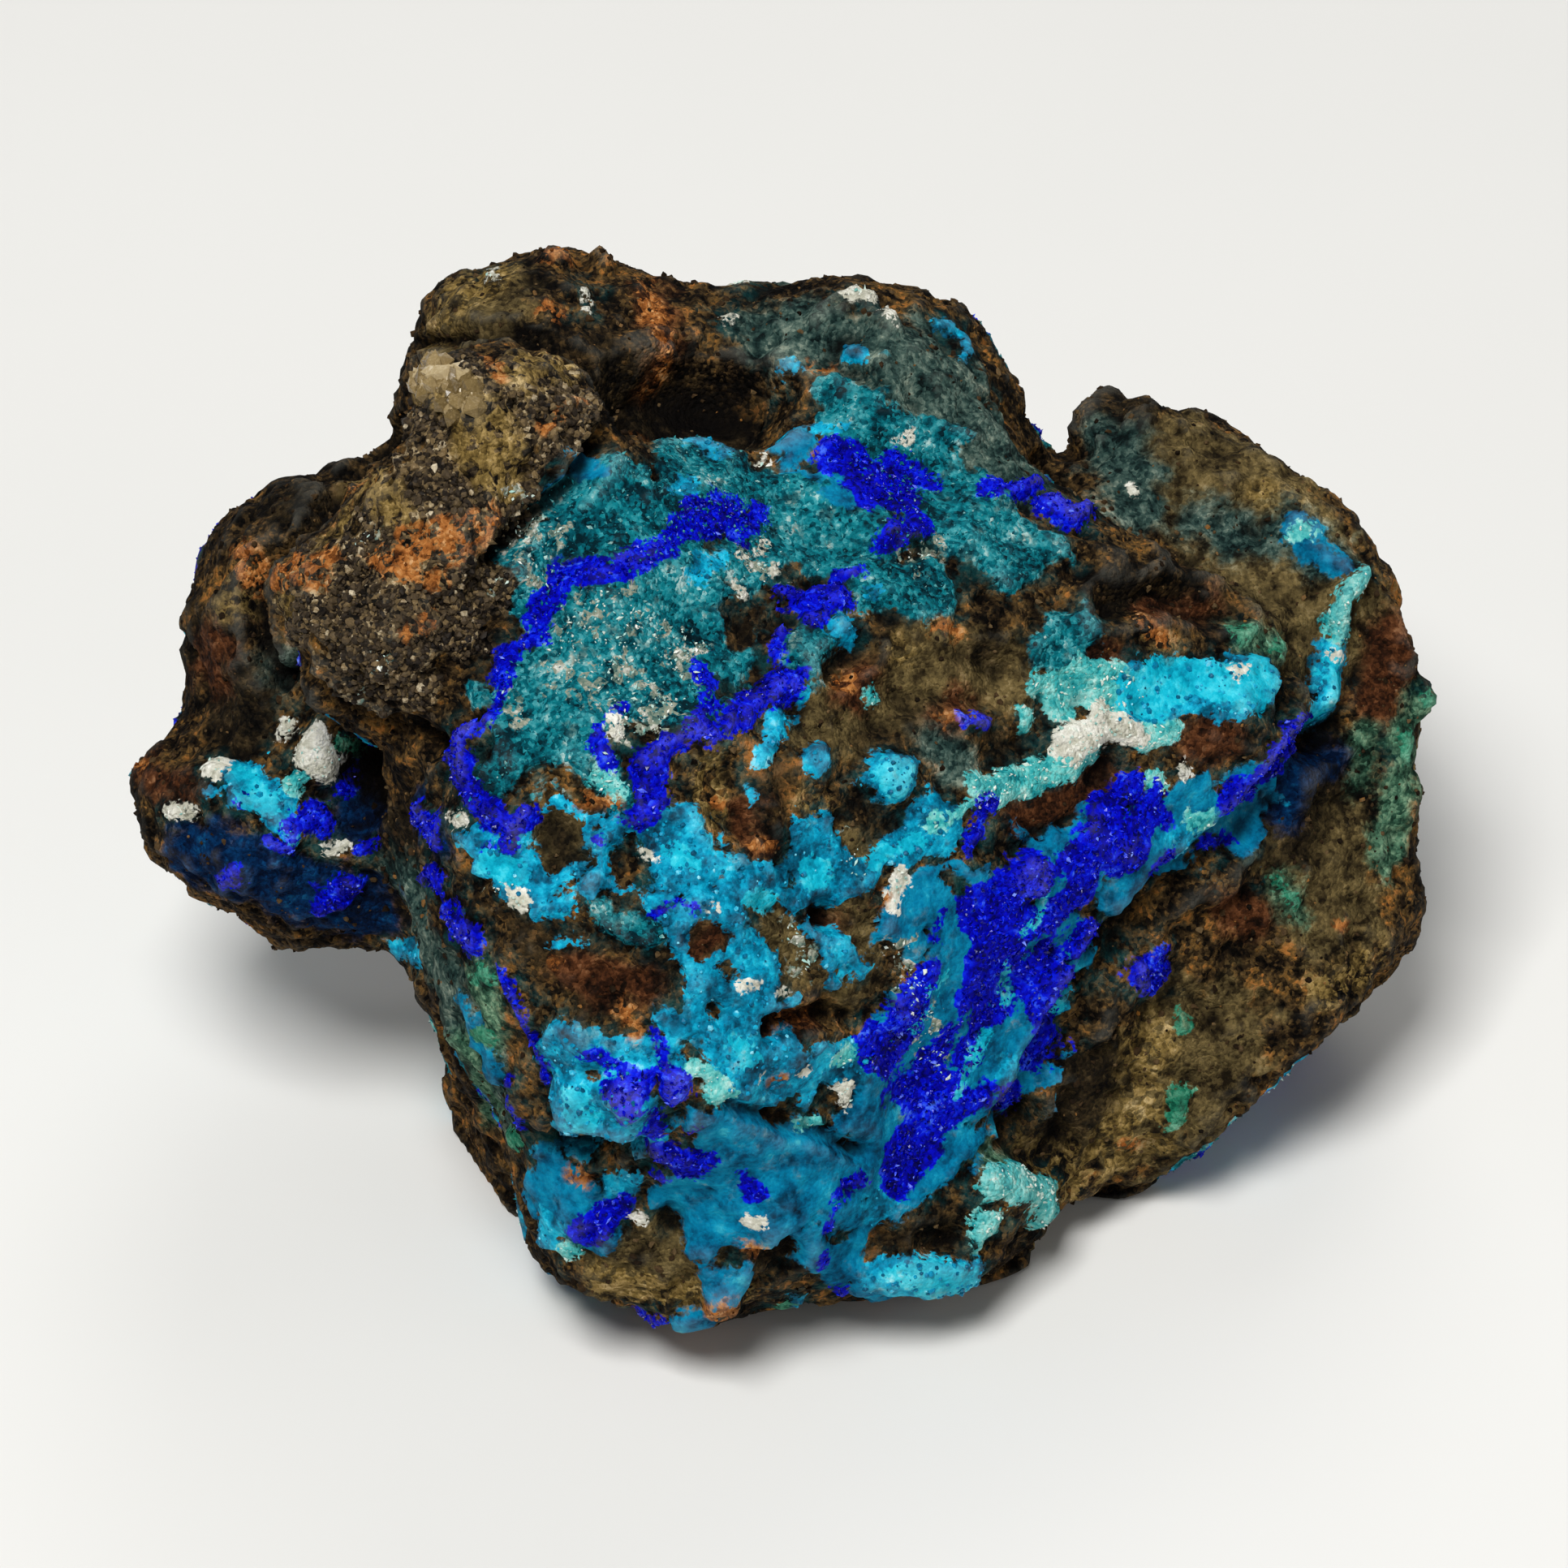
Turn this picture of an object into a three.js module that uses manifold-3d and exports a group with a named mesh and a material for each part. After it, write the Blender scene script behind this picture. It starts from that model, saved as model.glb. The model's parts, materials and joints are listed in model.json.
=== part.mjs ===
// A hand specimen of copper ore: a lump of rusty limonite matrix overgrown with chrysocolla, azurite and
// malachite. It formed as one piece, so it is one solid. Rounded blocks that flow into each other give its
// form: an icosahedron is drawn in onto them, roughened, and broken off flat underneath, where it rests.
import * as THREE from 'three';
import { mergeVertices } from 'three/addons/utils/BufferGeometryUtils.js';
import { ImprovedNoise } from 'three/addons/math/ImprovedNoise.js';
import Module from 'manifold-3d';

// Driving dimensions, in millimetres and degrees
const specimenWidth = 60;
const faceRise = 40; // how far the display face's normal rises above the horizon
const restLevel = -18.6; // height of the broken underside below the middle of the display face
const facetRings = 22; // the icosahedron's subdivisions
const heart = { at: [4, -3, -5], size: [14, 8, 7] }; // the inner egg from which the surface is drawn
const coarseBump = { height: 1.0, length: 6.5 };
const fineBump = { height: 0.5, length: 2.6 };
const crease = { depth: 1.1, length: 5.2 };
const meanCrease = 0.25; // the creases' mean height, taken off so that they don't swell the stone
const flatEdge = 1.6; // how far a broken plane's edge is rounded
const farReach = 45; // from here the surface is drawn in towards the heart
const leastStep = 0.04;
const closeEnough = 0.02;
const drawnWidth = 60; // the width at which the lengths here are written

// The blocks, in the display face's own frame: [across, up, out of the face] in millimetres at the drawn
// width. size holds the half lengths, turn the turn in the plane of the face, square how blocky it is (2 is
// an egg), blend how softly it flows into the ones before it, and each flat a broken plane: [its normal, its
// distance from the block's middle].
const blocks = [
  {
    name: 'core', at: [3.5, -1.5, -2], size: [21, 20, 20.5],
    flats: [
      [[0.5, 0.1, 0.86], 13.6], [[0.574, -0.383, 0.722], 13.1], [[0.15, 0.62, 0.77], 15.3],
      [[0.5, 0.87, 0], 17.6],
    ],
  },
  { name: 'front ridge', at: [-8.5, -4, 6], size: [7.6, 14, 11.5], turn: 18, square: 2.4, blend: 5 },
  { name: 'shoulder', at: [-7, 9, 3], size: [6.5, 6.5, 9.5], blend: 4 },
  { name: 'shelf', at: [15.5, 3, 0], size: [8.5, 3.6, 5.5], turn: -8, blend: 2.5 },
  {
    name: 'back', at: [7, 1, -13], size: [21.5, 15.5, 9.5], square: 2.6, blend: 3,
    flats: [[[0.3, 0.3, -0.9], 8.2], [[-0.5, 0.35, -0.79], 9.8], [[0.5, 0.87, 0], 12.6]],
  },
  {
    name: 'back left mass', at: [-19.3, 6.4, -6], size: [8.3, 8.2, 10], square: 2.5, blend: 2,
    flats: [[[-0.55, 0.3, -0.78], 7.2]],
  },
  {
    name: 'top mass', at: [-10.2, 18.2, -4], size: [7.3, 6, 9], square: 2.5, blend: 2,
    flats: [[[-0.2, 0.5, -0.84], 6.4]],
  },
  { name: 'top saddle', at: [-3, 16.6, -7], size: [4, 6.6, 7], square: 2.6, blend: 2 },
  { name: 'top right dome', at: [2.6, 14.5, -6], size: [9.2, 9, 10], square: 2.2, blend: 2 },
  {
    name: 'right block', at: [22.2, 5.5, -9.5], size: [9.5, 15, 7], square: 4, blend: 1.6,
    flats: [
      [[-0.96, 0.275, 0], 10.6], [[0.372, 0.928, 0], 9.8], [[0.725, 0.689, 0], 7.8],
      [[0.913, 0.407, 0], 7.1], [[1, 0, 0], 7.5], [[0.1, 0.5, 0.86], 8.2],
    ],
  },
  {
    name: 'lower right mass', at: [18.4, -5.8, -9], size: [10.2, 14.2, 9], square: 2.4, blend: 1.5,
    flats: [[[0.68, -0.733, 0], 8.3]],
  },
  { name: 'left lobe', at: [-23, -2.2, -4], size: [6.6, 4.8, 8], turn: -20, square: 2.3, blend: 1.5 },
  { name: 'left tip', at: [-28.6, 0.8, -4], size: [1.6, 1.3, 2], blend: 0.6 },
  { name: 'lower left lobe', at: [-11.3, -14, -8], size: [4.4, 6, 8], blend: 2 },
  { name: 'bottom front', at: [-3.9, -18, 2], size: [8, 6.2, 8], square: 2.3, blend: 3 },
  { name: 'bottom right', at: [5.6, -19.3, -1], size: [6, 4.4, 7], square: 2.3, blend: 1.5 },
  { name: 'knob', at: [-14.9, 10.4, 8], size: [4.4, 9, 8], turn: -34, square: 2.4, blend: 1.5 },
  { name: 'knob, lower lobe', at: [-16.6, 7, 8], size: [5.4, 5, 8], square: 2.3, blend: 1.5 },
  { name: 'knob, left bulge', at: [-20.4, 8.9, 9], size: [2.8, 2.2, 4], blend: 1.5 },
  {
    name: 'knob, upper end', at: [-11.4, 16.2, 7], size: [4.6, 3.4, 7.4], turn: -20, square: 2.5, blend: 1.5,
  },
];

const sizeUnit = specimenWidth / drawnWidth;
const noise = new ImprovedNoise();
const wasm = await Module();
wasm.setup();

// Distance from a place to one block, less than nought inside it.
function blockDistance({ at, size, turn = 0, square = 2, flats = [] }, place) {
  const away = place.clone().sub(new THREE.Vector3(...at));
  const own = away.clone().applyAxisAngle(new THREE.Vector3(0, 0, 1), THREE.MathUtils.degToRad(-turn));
  const shares = own.toArray().map((length, axis) => Math.abs(length) / size[axis]);
  const level = Math.hypot(...shares.map((share) => share ** (square / 2))) ** (2 / square);
  const slope = Math.hypot(...shares.map((share, axis) => (share / level) ** (square - 1) / size[axis]));
  let distance = (level - 1) / slope;
  for (const [normal, reach] of flats) {
    const beyond = away.dot(new THREE.Vector3(...normal).normalize()) - reach;
    distance = -softLeast(-distance, -beyond, flatEdge);
  }
  return distance;
}

// The smaller of two distances, with a fillet of the blend's width where they meet.
function softLeast(first, second, blend) {
  const share = Math.max(0, blend - Math.abs(first - second)) / blend;
  return Math.min(first, second) - (share * share * blend) / 4;
}

// How far the rough surface stands out at a place.
function roughness(place) {
  const wave = (length) => noise.noise(place.x / length, place.y / length, place.z / length);
  const bumps = coarseBump.height * wave(coarseBump.length) + fineBump.height * wave(fineBump.length);
  return bumps + crease.depth * (Math.abs(wave(crease.length)) - meanCrease);
}

// Distance from a place to the whole stone.
function stoneDistance(place) {
  let distance = blockDistance(blocks[0], place);
  for (const block of blocks.slice(1)) {
    distance = softLeast(distance, blockDistance(block, place), block.blend);
  }
  return distance - roughness(place);
}

// The outermost place where a line from the stone's heart leaves it.
function surfaceAlong(direction) {
  const start = direction.clone().multiply(new THREE.Vector3(...heart.size));
  start.add(new THREE.Vector3(...heart.at));
  const place = new THREE.Vector3();
  let reach = farReach;
  let gap = farReach;
  while (gap > closeEnough) {
    gap = stoneDistance(place.copy(start).addScaledVector(direction, reach));
    reach -= Math.max(leastStep, gap / 2);
  }
  return place;
}

// A closed geometry as a solid that can be joined and cut.
function solidFrom(geometry) {
  const bare = geometry.clone();
  bare.deleteAttribute('normal');
  bare.deleteAttribute('uv');
  const merged = mergeVertices(bare, 1e-4);
  return new wasm.Manifold(new wasm.Mesh({
    numProp: 3,
    vertProperties: new Float32Array(merged.getAttribute('position').array),
    triVerts: new Uint32Array(merged.index.array),
  }));
}

// A solid as a geometry again.
function geometryFrom(solid) {
  const mesh = solid.getMesh();
  const geometry = new THREE.BufferGeometry();
  geometry.setAttribute('position', new THREE.BufferAttribute(new Float32Array(mesh.vertProperties), 3));
  geometry.setIndex(new THREE.BufferAttribute(new Uint32Array(mesh.triVerts), 1));
  return geometry;
}

// The whole stone, standing as it rests, with its underside broken off flat.
function specimenGeometry() {
  const skin = new THREE.IcosahedronGeometry(1, facetRings);
  skin.deleteAttribute('normal');
  skin.deleteAttribute('uv');
  const drawn = mergeVertices(skin, 1e-5);
  const position = drawn.getAttribute('position');
  for (let i = 0; i < position.count; i++) {
    const place = surfaceAlong(new THREE.Vector3().fromBufferAttribute(position, i).normalize());
    position.setXYZ(i, place.x, place.y, place.z);
  }
  drawn.scale(sizeUnit, sizeUnit, sizeUnit);
  drawn.rotateX(THREE.MathUtils.degToRad(90 - faceRise));
  const roomSize = 3 * specimenWidth;
  const room = new THREE.BoxGeometry(roomSize, roomSize, roomSize);
  room.translate(0, 0, restLevel * sizeUnit + roomSize / 2);
  return geometryFrom(solidFrom(drawn).intersect(solidFrom(room)));
}

const geometry = specimenGeometry();
geometry.computeBoundingBox();
const middle = geometry.boundingBox.getCenter(new THREE.Vector3());

const specimen = new THREE.Mesh(
  geometry,
  new THREE.MeshStandardMaterial({ color: 0x2b7f93, roughness: 0.8, metalness: 0 }),
);
specimen.name = 'specimen';
specimen.position.set(-middle.x, -middle.y, -geometry.boundingBox.min.z);

const stone = new THREE.Group();
stone.add(specimen);
export default stone;
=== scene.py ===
import json
import math

import bpy
import numpy as np
from mathutils import Matrix, Vector, noise
from mathutils.bvhtree import BVHTree

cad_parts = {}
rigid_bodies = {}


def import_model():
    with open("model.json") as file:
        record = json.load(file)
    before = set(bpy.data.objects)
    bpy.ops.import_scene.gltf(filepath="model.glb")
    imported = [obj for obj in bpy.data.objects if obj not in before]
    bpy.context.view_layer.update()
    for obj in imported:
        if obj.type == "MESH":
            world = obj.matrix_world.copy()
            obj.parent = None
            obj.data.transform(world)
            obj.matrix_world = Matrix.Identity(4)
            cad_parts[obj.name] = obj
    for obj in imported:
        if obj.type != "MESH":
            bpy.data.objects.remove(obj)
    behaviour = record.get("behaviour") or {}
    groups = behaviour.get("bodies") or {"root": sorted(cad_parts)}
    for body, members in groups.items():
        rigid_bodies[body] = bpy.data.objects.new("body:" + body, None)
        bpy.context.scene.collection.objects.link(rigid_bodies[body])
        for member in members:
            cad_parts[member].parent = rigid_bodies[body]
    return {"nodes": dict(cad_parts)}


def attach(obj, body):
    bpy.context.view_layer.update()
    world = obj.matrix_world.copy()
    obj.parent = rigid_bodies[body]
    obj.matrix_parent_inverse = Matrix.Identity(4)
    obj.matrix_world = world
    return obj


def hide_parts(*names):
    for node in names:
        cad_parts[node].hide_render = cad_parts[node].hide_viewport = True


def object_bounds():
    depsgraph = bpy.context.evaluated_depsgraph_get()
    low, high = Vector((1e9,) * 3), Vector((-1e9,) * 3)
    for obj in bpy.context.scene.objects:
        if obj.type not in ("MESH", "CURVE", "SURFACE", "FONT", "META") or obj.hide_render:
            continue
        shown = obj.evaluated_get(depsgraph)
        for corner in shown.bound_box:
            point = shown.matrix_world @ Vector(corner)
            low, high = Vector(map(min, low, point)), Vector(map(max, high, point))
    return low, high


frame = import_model()
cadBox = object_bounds()

mm = 0.001
dice = np.random.default_rng(41)

# How the stone is looked at. Places on its display face are written in this view's pixels.
view = {
    "side": 1932,  # the picture's width and height
    "pixel": 0.0366,  # millimetres to a pixel at the aim
    "aim": (0.26, -1.35, 18.6),  # the middle of the display face, in millimetres
    "rise": 40,  # degrees the face looks up
    "distance": 320,
    "sensor": 36,  # width of the camera's sensor, in millimetres
}
rise = math.radians(view["rise"])
aim = np.array(view["aim"])
across = np.array((1, 0, 0))
up = np.array((0, math.sin(rise), math.cos(rise)))
out = np.array((0, -math.cos(rise), math.sin(rise)))
eye = aim + out * view["distance"]
pictureMiddle = view["side"] / 2


def toPicture(places):
    # across and down in pixels, then millimetres out of the face
    away = places - aim
    depth = away @ out
    scale = view["pixel"] * (1 - depth / view["distance"])
    right = pictureMiddle + away @ across / scale
    down = pictureMiddle - away @ up / scale
    return np.stack([right, down, depth], axis=1)


def smoothStep(low, high, value):
    share = np.clip((value - low) / (high - low), 0, 1)
    return share * share * (3 - 2 * share)


seedShift = 17.3  # how far apart two seeds' noises lie, in lengths
cellShift = 11.9


def waves(places, length, octaves, seed):
    # smooth noise of about -1 to 1, with bumps of the given length in millimetres
    shifted = places / length + seed * seedShift
    return np.array([noise.fractal(place, 1.0, 2.0, octaves) for place in shifted])


def cells(places, length, seed):
    # 0 at the middle of each rounded cell, towards 1 at its edge
    return np.array([noise.voronoi(place)[0][0] for place in places / length + seed * cellShift])


# The body of the stone: the solid's own form, softened, with a crust's relief worked into it.
stoneBody = {
    "grid": 0.335,  # spacing of the mesh, in millimetres
    "softening": 26,  # rounds of smoothing that take the solid's facets off
    "lumps": (0.34, 2.6, 3, 31),  # the broken surface's lumps: height, length, octaves and seed
    "grit": (0.15, 0.8, 2, 32),
    "gritShare": (0.6, 0.8),  # how much of the grit lies on a crust, and how much more on bare matrix
    "pits": (0.34, 1.7, 2, 33),  # the limonite's pits: depth, spacing, octaves and seed
    "pitEdge": (0.05, 0.5),  # levels of the noise at which a pit begins and is at its deepest
    "crust": 0.3,  # how thick the crusts lie on the matrix
    "crustEdge": (-0.12, 0.3),  # millimetres inside its edge where a crust begins and is at its thickest
    # rounded growth of the crusts: lift, height and width in millimetres, and a seed
    "growth": {
        "skin": (0, 0.2, 0.85, 2),
        "azurite": (0.06, 0.2, 0.6, 3),
        "tealCrust": (0, 0.2, 0.78, 4),
        "gossan": (0.17, 0.3, 0.72, 5),
    },
    "deepTealSkin": 0.6,  # how much of the chrysocolla's rounded skin the deep teal has
    "footing": 0.4,  # height above the floor up to which the stone stays flat
    "margin": 0.6,  # how far the relief may pass the solid's box
    "hollowRounds": (14, 70),  # rounds of smoothing that find narrow and wide hollows
    "wideShare": 0.5,  # how much the wide hollows count
    "reliefBend": 0.6,  # how much of the patches' wander the hollows have
    "reliefWidth": 1.5,  # how far a hollow's slopes reach, in half widths
    "reliefSlope": 0.7,  # how far in it is at its deepest, as a share of that reach
    # hollows and swellings: height in millimetres, half width in pixels, then the path
    "relief": [
        (-2.6, 46, (790, 480), (860, 482), (930, 490)),
        (-1.3, 15, (752, 540), (715, 590), (690, 612), (640, 660), (612, 695)),
        (-1.1, 16, (360, 830), (410, 880), (470, 905), (530, 920)),
        (-0.6, 30, (450, 950), (470, 990), (480, 1040)), (-0.35, 42, (690, 1010), (695, 1045)),
        (-0.3, 26, (770, 1060), (768, 1080)), (-0.5, 52, (690, 1190), (780, 1190)),
        (-0.9, 34, (900, 960), (910, 1010)), (-0.6, 46, (1010, 880), (1070, 880)),
        (-0.7, 40, (1130, 835), (1220, 830)), (-1.0, 24, (1040, 815), (1060, 800)),
        (-0.3, 15, (890, 1253), (896, 1246)), (-1.6, 17, (690, 1412), (730, 1424), (775, 1412)),
        (0.8, 32, (715, 1358), (765, 1370)),
        (-0.7, 11, (900, 1365), (950, 1380), (1000, 1395), (1060, 1420)),
        (-1.2, 28, (1640, 900), (1560, 1000), (1460, 1090), (1380, 1170), (1320, 1270), (1260, 1370)),
        (-1.4, 28, (1380, 735), (1450, 725), (1520, 740)), (-0.9, 22, (962, 1557), (970, 1552)),
        (-0.8, 22, (1150, 1532), (1180, 1530)), (-0.5, 16, (820, 1510), (830, 1500)),
        (-0.8, 14, (950, 1265), (1010, 1252), (1050, 1258)), (-0.9, 20, (1025, 1128), (1030, 1132)),
        (0.8, 26, (774, 1341), (776, 1340)), (0.5, 22, (828, 1335), (832, 1338)),
        (0.5, 26, (1268, 1078), (1266, 1080)), (0.7, 28, (1095, 957), (1100, 955)),
        (0.6, 26, (1310, 918), (1350, 895), (1385, 905)),
        (0.7, 13, (1680, 705), (1655, 740), (1640, 785), (1633, 865)), (-0.7, 16, (1605, 820), (1595, 880)),
        (0.9, 30, (390, 925), (390, 935)), (0.8, 34, (1230, 1455), (1270, 1480)),
        (0.8, 24, (890, 1608), (895, 1606)), (0.8, 16, (685, 315), (688, 318)),
        (0.7, 14, (740, 318), (742, 322)), (0.8, 13, (815, 308), (816, 312)),
        (0.7, 16, (1010, 392), (1055, 368), (1095, 398)), (0.5, 40, (530, 450), (570, 490)),
        (-1.2, 12, (482, 524), (434, 570), (398, 612), (370, 645), (318, 680), (300, 730), (312, 800),
            (340, 846)),
        (-0.9, 10, (505, 424), (560, 406), (620, 398), (690, 424), (742, 452)),
        (1.1, 26, (1356, 494), (1346, 530)), (-0.9, 16, (1296, 566), (1310, 590)),
    ],
}

# What grew on the matrix. Each patch is a half width in pixels and a path along its middle. A tone is the
# middle of the colours, then how far broad, middling and fine spots and single grains move it along them.
azurite = {
    "colours": [(0, 0, 74), (0, 0, 136), (0, 6, 192), (6, 36, 224), (66, 108, 240)],
    "tone": (0.42, 0.7, 1.3, 1.2, 0.5),
    "seed": 43,
    "ground": [
        (34, (1345, 1050), (1295, 1150), (1285, 1290)), (34, (1222, 1110), (1205, 1210)),
        (28, (1135, 1235), (1085, 1300)), (46, (1155, 1355), (1112, 1430)), (24, (1555, 975), (1622, 900)),
        (30, (1425, 1000), (1380, 1060)), (34, (1060, 575), (1110, 600)),
    ],
    "patches": [
        (17, (660, 778), (668, 750), (680, 735), (690, 712), (712, 702), (738, 704)),
        (20, (765, 702), (788, 687), (812, 676)), (15, (822, 668), (840, 650), (852, 637)),
        (21, (858, 632), (878, 626), (900, 640), (914, 650)), (13, (935, 626), (937, 638)),
        (9, (656, 784), (640, 796)), (14, (632, 812), (622, 824), (618, 834)),
        (9, (617, 850), (609, 868), (598, 888)), (14, (580, 898), (567, 910)),
        (19, (558, 925), (564, 945), (574, 965), (588, 985)), (17, (604, 997), (622, 1008), (642, 1012)),
        (8, (600, 1036), (598, 1046)), (13, (632, 1024), (628, 1046)),
        (12, (733, 896), (735, 915), (744, 938)), (8, (756, 884), (772, 874)),
        (22, (790, 1000), (799, 985), (797, 960), (793, 930)), (13, (808, 928), (832, 914), (858, 905)),
        (16, (872, 872), (870, 862)), (16, (868, 820), (876, 838)),
        (20, (908, 888), (922, 868), (940, 852), (958, 842), (974, 830)),
        (9, (950, 806), (962, 782), (968, 768)), (13, (962, 732), (985, 735)),
        (19, (1002, 746), (1014, 736), (1032, 738)), (10, (1030, 709), (1062, 706)),
        (18, (1022, 548), (1050, 562), (1080, 583), (1112, 594)), (16, (1064, 606), (1078, 618)),
        (15, (1090, 677), (1105, 656), (1136, 645)), (13, (1212, 604), (1240, 597), (1274, 594)),
        (15, (1292, 620), (1320, 630), (1342, 621)), (8, (1188, 883), (1192, 884)),
        (10, (1213, 889), (1219, 891)), (11, (1220, 985), (1206, 1015), (1190, 1045)),
        (25, (1262, 1078), (1274, 1080)),
        (19, (1218, 1100), (1222, 1130), (1226, 1165), (1212, 1200), (1190, 1228)),
        (15, (1246, 1140), (1238, 1172)), (6, (1158, 1130), (1150, 1162)),
        (17, (1142, 1204), (1122, 1232), (1100, 1262), (1078, 1295)),
        (17, (1238, 1236), (1198, 1262), (1190, 1302)), (22, (1330, 1162), (1342, 1156)),
        (22, (1300, 1204), (1286, 1244), (1300, 1284), (1288, 1320)),
        (24, (1130, 1340), (1160, 1370), (1130, 1400), (1104, 1440)), (18, (1180, 1370), (1206, 1352)),
        (19, (1246, 1352), (1258, 1370)), (21, (1365, 1000), (1347, 1040), (1338, 1090)),
        (14, (1388, 972), (1394, 966)), (17, (1408, 990), (1434, 1006)),
        (16, (1625, 890), (1600, 915), (1575, 945), (1550, 975), (1510, 992)),
        (10, (1560, 962), (1553, 1002)), (10, (1503, 1050), (1537, 1035)), (13, (1430, 1086), (1442, 1062)),
        (20, (1414, 1206), (1422, 1200)), (11, (1437, 1178), (1432, 1186)), (26, (774, 1341), (777, 1338)),
        (21, (826, 1332), (834, 1340)), (7, (802, 1277), (815, 1292), (826, 1310)),
        (9, (722, 1300), (742, 1299), (764, 1309)), (13, (802, 1378), (806, 1388)),
        (8, (848, 1394), (858, 1389)), (16, (806, 1416), (835, 1430), (866, 1432)),
        (9, (810, 1452), (806, 1462)), (15, (914, 1458), (924, 1470)),
        (19, (722, 1514), (745, 1502), (764, 1496)), (10, (1052, 1455), (1036, 1480), (1024, 1510)),
        (9, (1012, 1556), (1018, 1548)), (11, (1036, 1588), (1038, 1594)), (9, (782, 1624), (812, 1629)),
        (7, (612, 1195), (625, 1220), (633, 1240), (645, 1265), (660, 1290), (668, 1312), (672, 1335)),
        (13, (520, 1074), (530, 1088)), (17, (548, 1125), (560, 1145), (577, 1168)),
        (20, (516, 1004), (526, 1030)), (7, (625, 1332), (625, 1340)), (7, (628, 1365), (637, 1392)),
        (14, (358, 1015), (380, 1005), (404, 1014)), (9, (328, 1036), (356, 1043)),
        (13, (303, 978), (308, 980)), (10, (446, 1046), (452, 1042)), (14, (274, 1088), (288, 1086)),
        (19, (398, 1114), (428, 1102)), (12, (414, 972), (424, 960)), (8, (738, 1030), (741, 1036)),
        (8, (812, 1127), (838, 1113), (852, 1121)), (22, (1060, 590), (1100, 600)),
        (20, (1150, 1310), (1110, 1350)), (20, (1270, 1130), (1250, 1190)),
        (14, (1170, 1265), (1150, 1300)), (14, (860, 890), (880, 905)), (10, (1120, 570), (1150, 590)),
    ],
}
chrysocolla = {
    "colours": [(0, 42, 62), (0, 90, 120), (0, 140, 176), (28, 184, 214), (132, 216, 232)],
    "tone": (0.43, 0.8, 1.6, 0.9, 0.2),
    "stained": 0.7,  # how much of the rust stains shows in it
    "seed": 45,
    "ground": [
        (52, (625, 1065), (740, 1055)), (48, (836, 1035), (866, 1062)), (26, (910, 1088), (965, 1080)),
        (38, (1000, 1050), (1036, 1084)), (62, (865, 1120), (905, 1230), (950, 1310)),
        (40, (690, 1290), (800, 1300), (880, 1310)), (50, (1010, 1100), (1035, 1165)),
        (40, (710, 1360), (785, 1372)), (36, (1080, 1060), (1150, 1010)), (42, (990, 1330), (1040, 1305)),
        (34, (1400, 860), (1540, 845)), (30, (1150, 1575), (1090, 1585)), (34, (300, 960), (345, 1000)),
    ],
    "patches": [
        (20, (582, 1040), (604, 1068), (630, 1084), (652, 1070)), (19, (660, 1117), (690, 1119)),
        (6, (668, 1160), (722, 1161)), (18, (725, 1058), (727, 1094)), (10, (735, 1005), (775, 1010)),
        (33, (818, 1022), (846, 1048)), (28, (832, 1080), (864, 1070)), (13, (885, 1070), (940, 1054)),
        (17, (862, 1114), (870, 1122)), (26, (930, 1110), (942, 1112)),
        (30, (925, 1150), (936, 1200), (930, 1244)),
        (19, (862, 1186), (861, 1230), (850, 1258), (868, 1280)), (20, (826, 1260), (836, 1264)),
        (33, (912, 1286), (918, 1300)), (26, (900, 1326), (905, 1336)),
        (12, (680, 1272), (710, 1280), (745, 1285), (772, 1291)), (17, (792, 1304), (800, 1306)),
        (24, (708, 1340), (720, 1372), (766, 1380)), (26, (1008, 1024), (1014, 1028)),
        (28, (1006, 1072), (1014, 1082)), (20, (955, 1106), (962, 1110)), (24, (1020, 1158), (1034, 1166)),
        (15, (1080, 1062), (1110, 1050), (1140, 1022), (1172, 1000)), (21, (993, 1340), (998, 1344)),
        (20, (1012, 932), (1016, 938)), (27, (1090, 958), (1102, 955)), (19, (1032, 764), (1040, 768)),
        (11, (1072, 731), (1078, 729)), (9, (988, 846), (992, 844)), (10, (984, 872), (990, 878)),
        (9, (930, 972), (936, 980)), (9, (1128, 1000), (1140, 990)),
        (14, (958, 874), (960, 900), (942, 934)), (10, (778, 1422), (784, 1424)),
        (18, (752, 1466), (768, 1464)), (21, (672, 1518), (680, 1510)),
        (6, (655, 1426), (700, 1430), (740, 1424)),
        (27, (1400, 852), (1440, 850), (1482, 832), (1520, 860)), (26, (1550, 840), (1562, 841)),
        (18, (1640, 796), (1635, 840), (1628, 874)), (22, (1456, 1036), (1466, 1034)),
        (12, (1315, 1246), (1340, 1206)), (9, (975, 530), (1010, 525), (1046, 528)),
        (25, (1110, 1566), (1150, 1580), (1196, 1580)), (20, (1072, 1488), (1088, 1480)),
        (24, (1244, 1318), (1256, 1324)), (16, (1100, 1288), (1110, 1296)),
        (20, (282, 944), (312, 958), (338, 1002)), (9, (978, 1604), (980, 1612)),
        (14, (836, 604), (844, 600)), (15, (856, 536), (884, 554)), (12, (968, 446), (974, 444)),
        (9, (1160, 390), (1194, 410), (1194, 440)), (14, (1048, 430), (1054, 430)),
        (18, (858, 702), (880, 692)), (15, (486, 1168), (510, 1180)),
    ],
}
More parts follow.
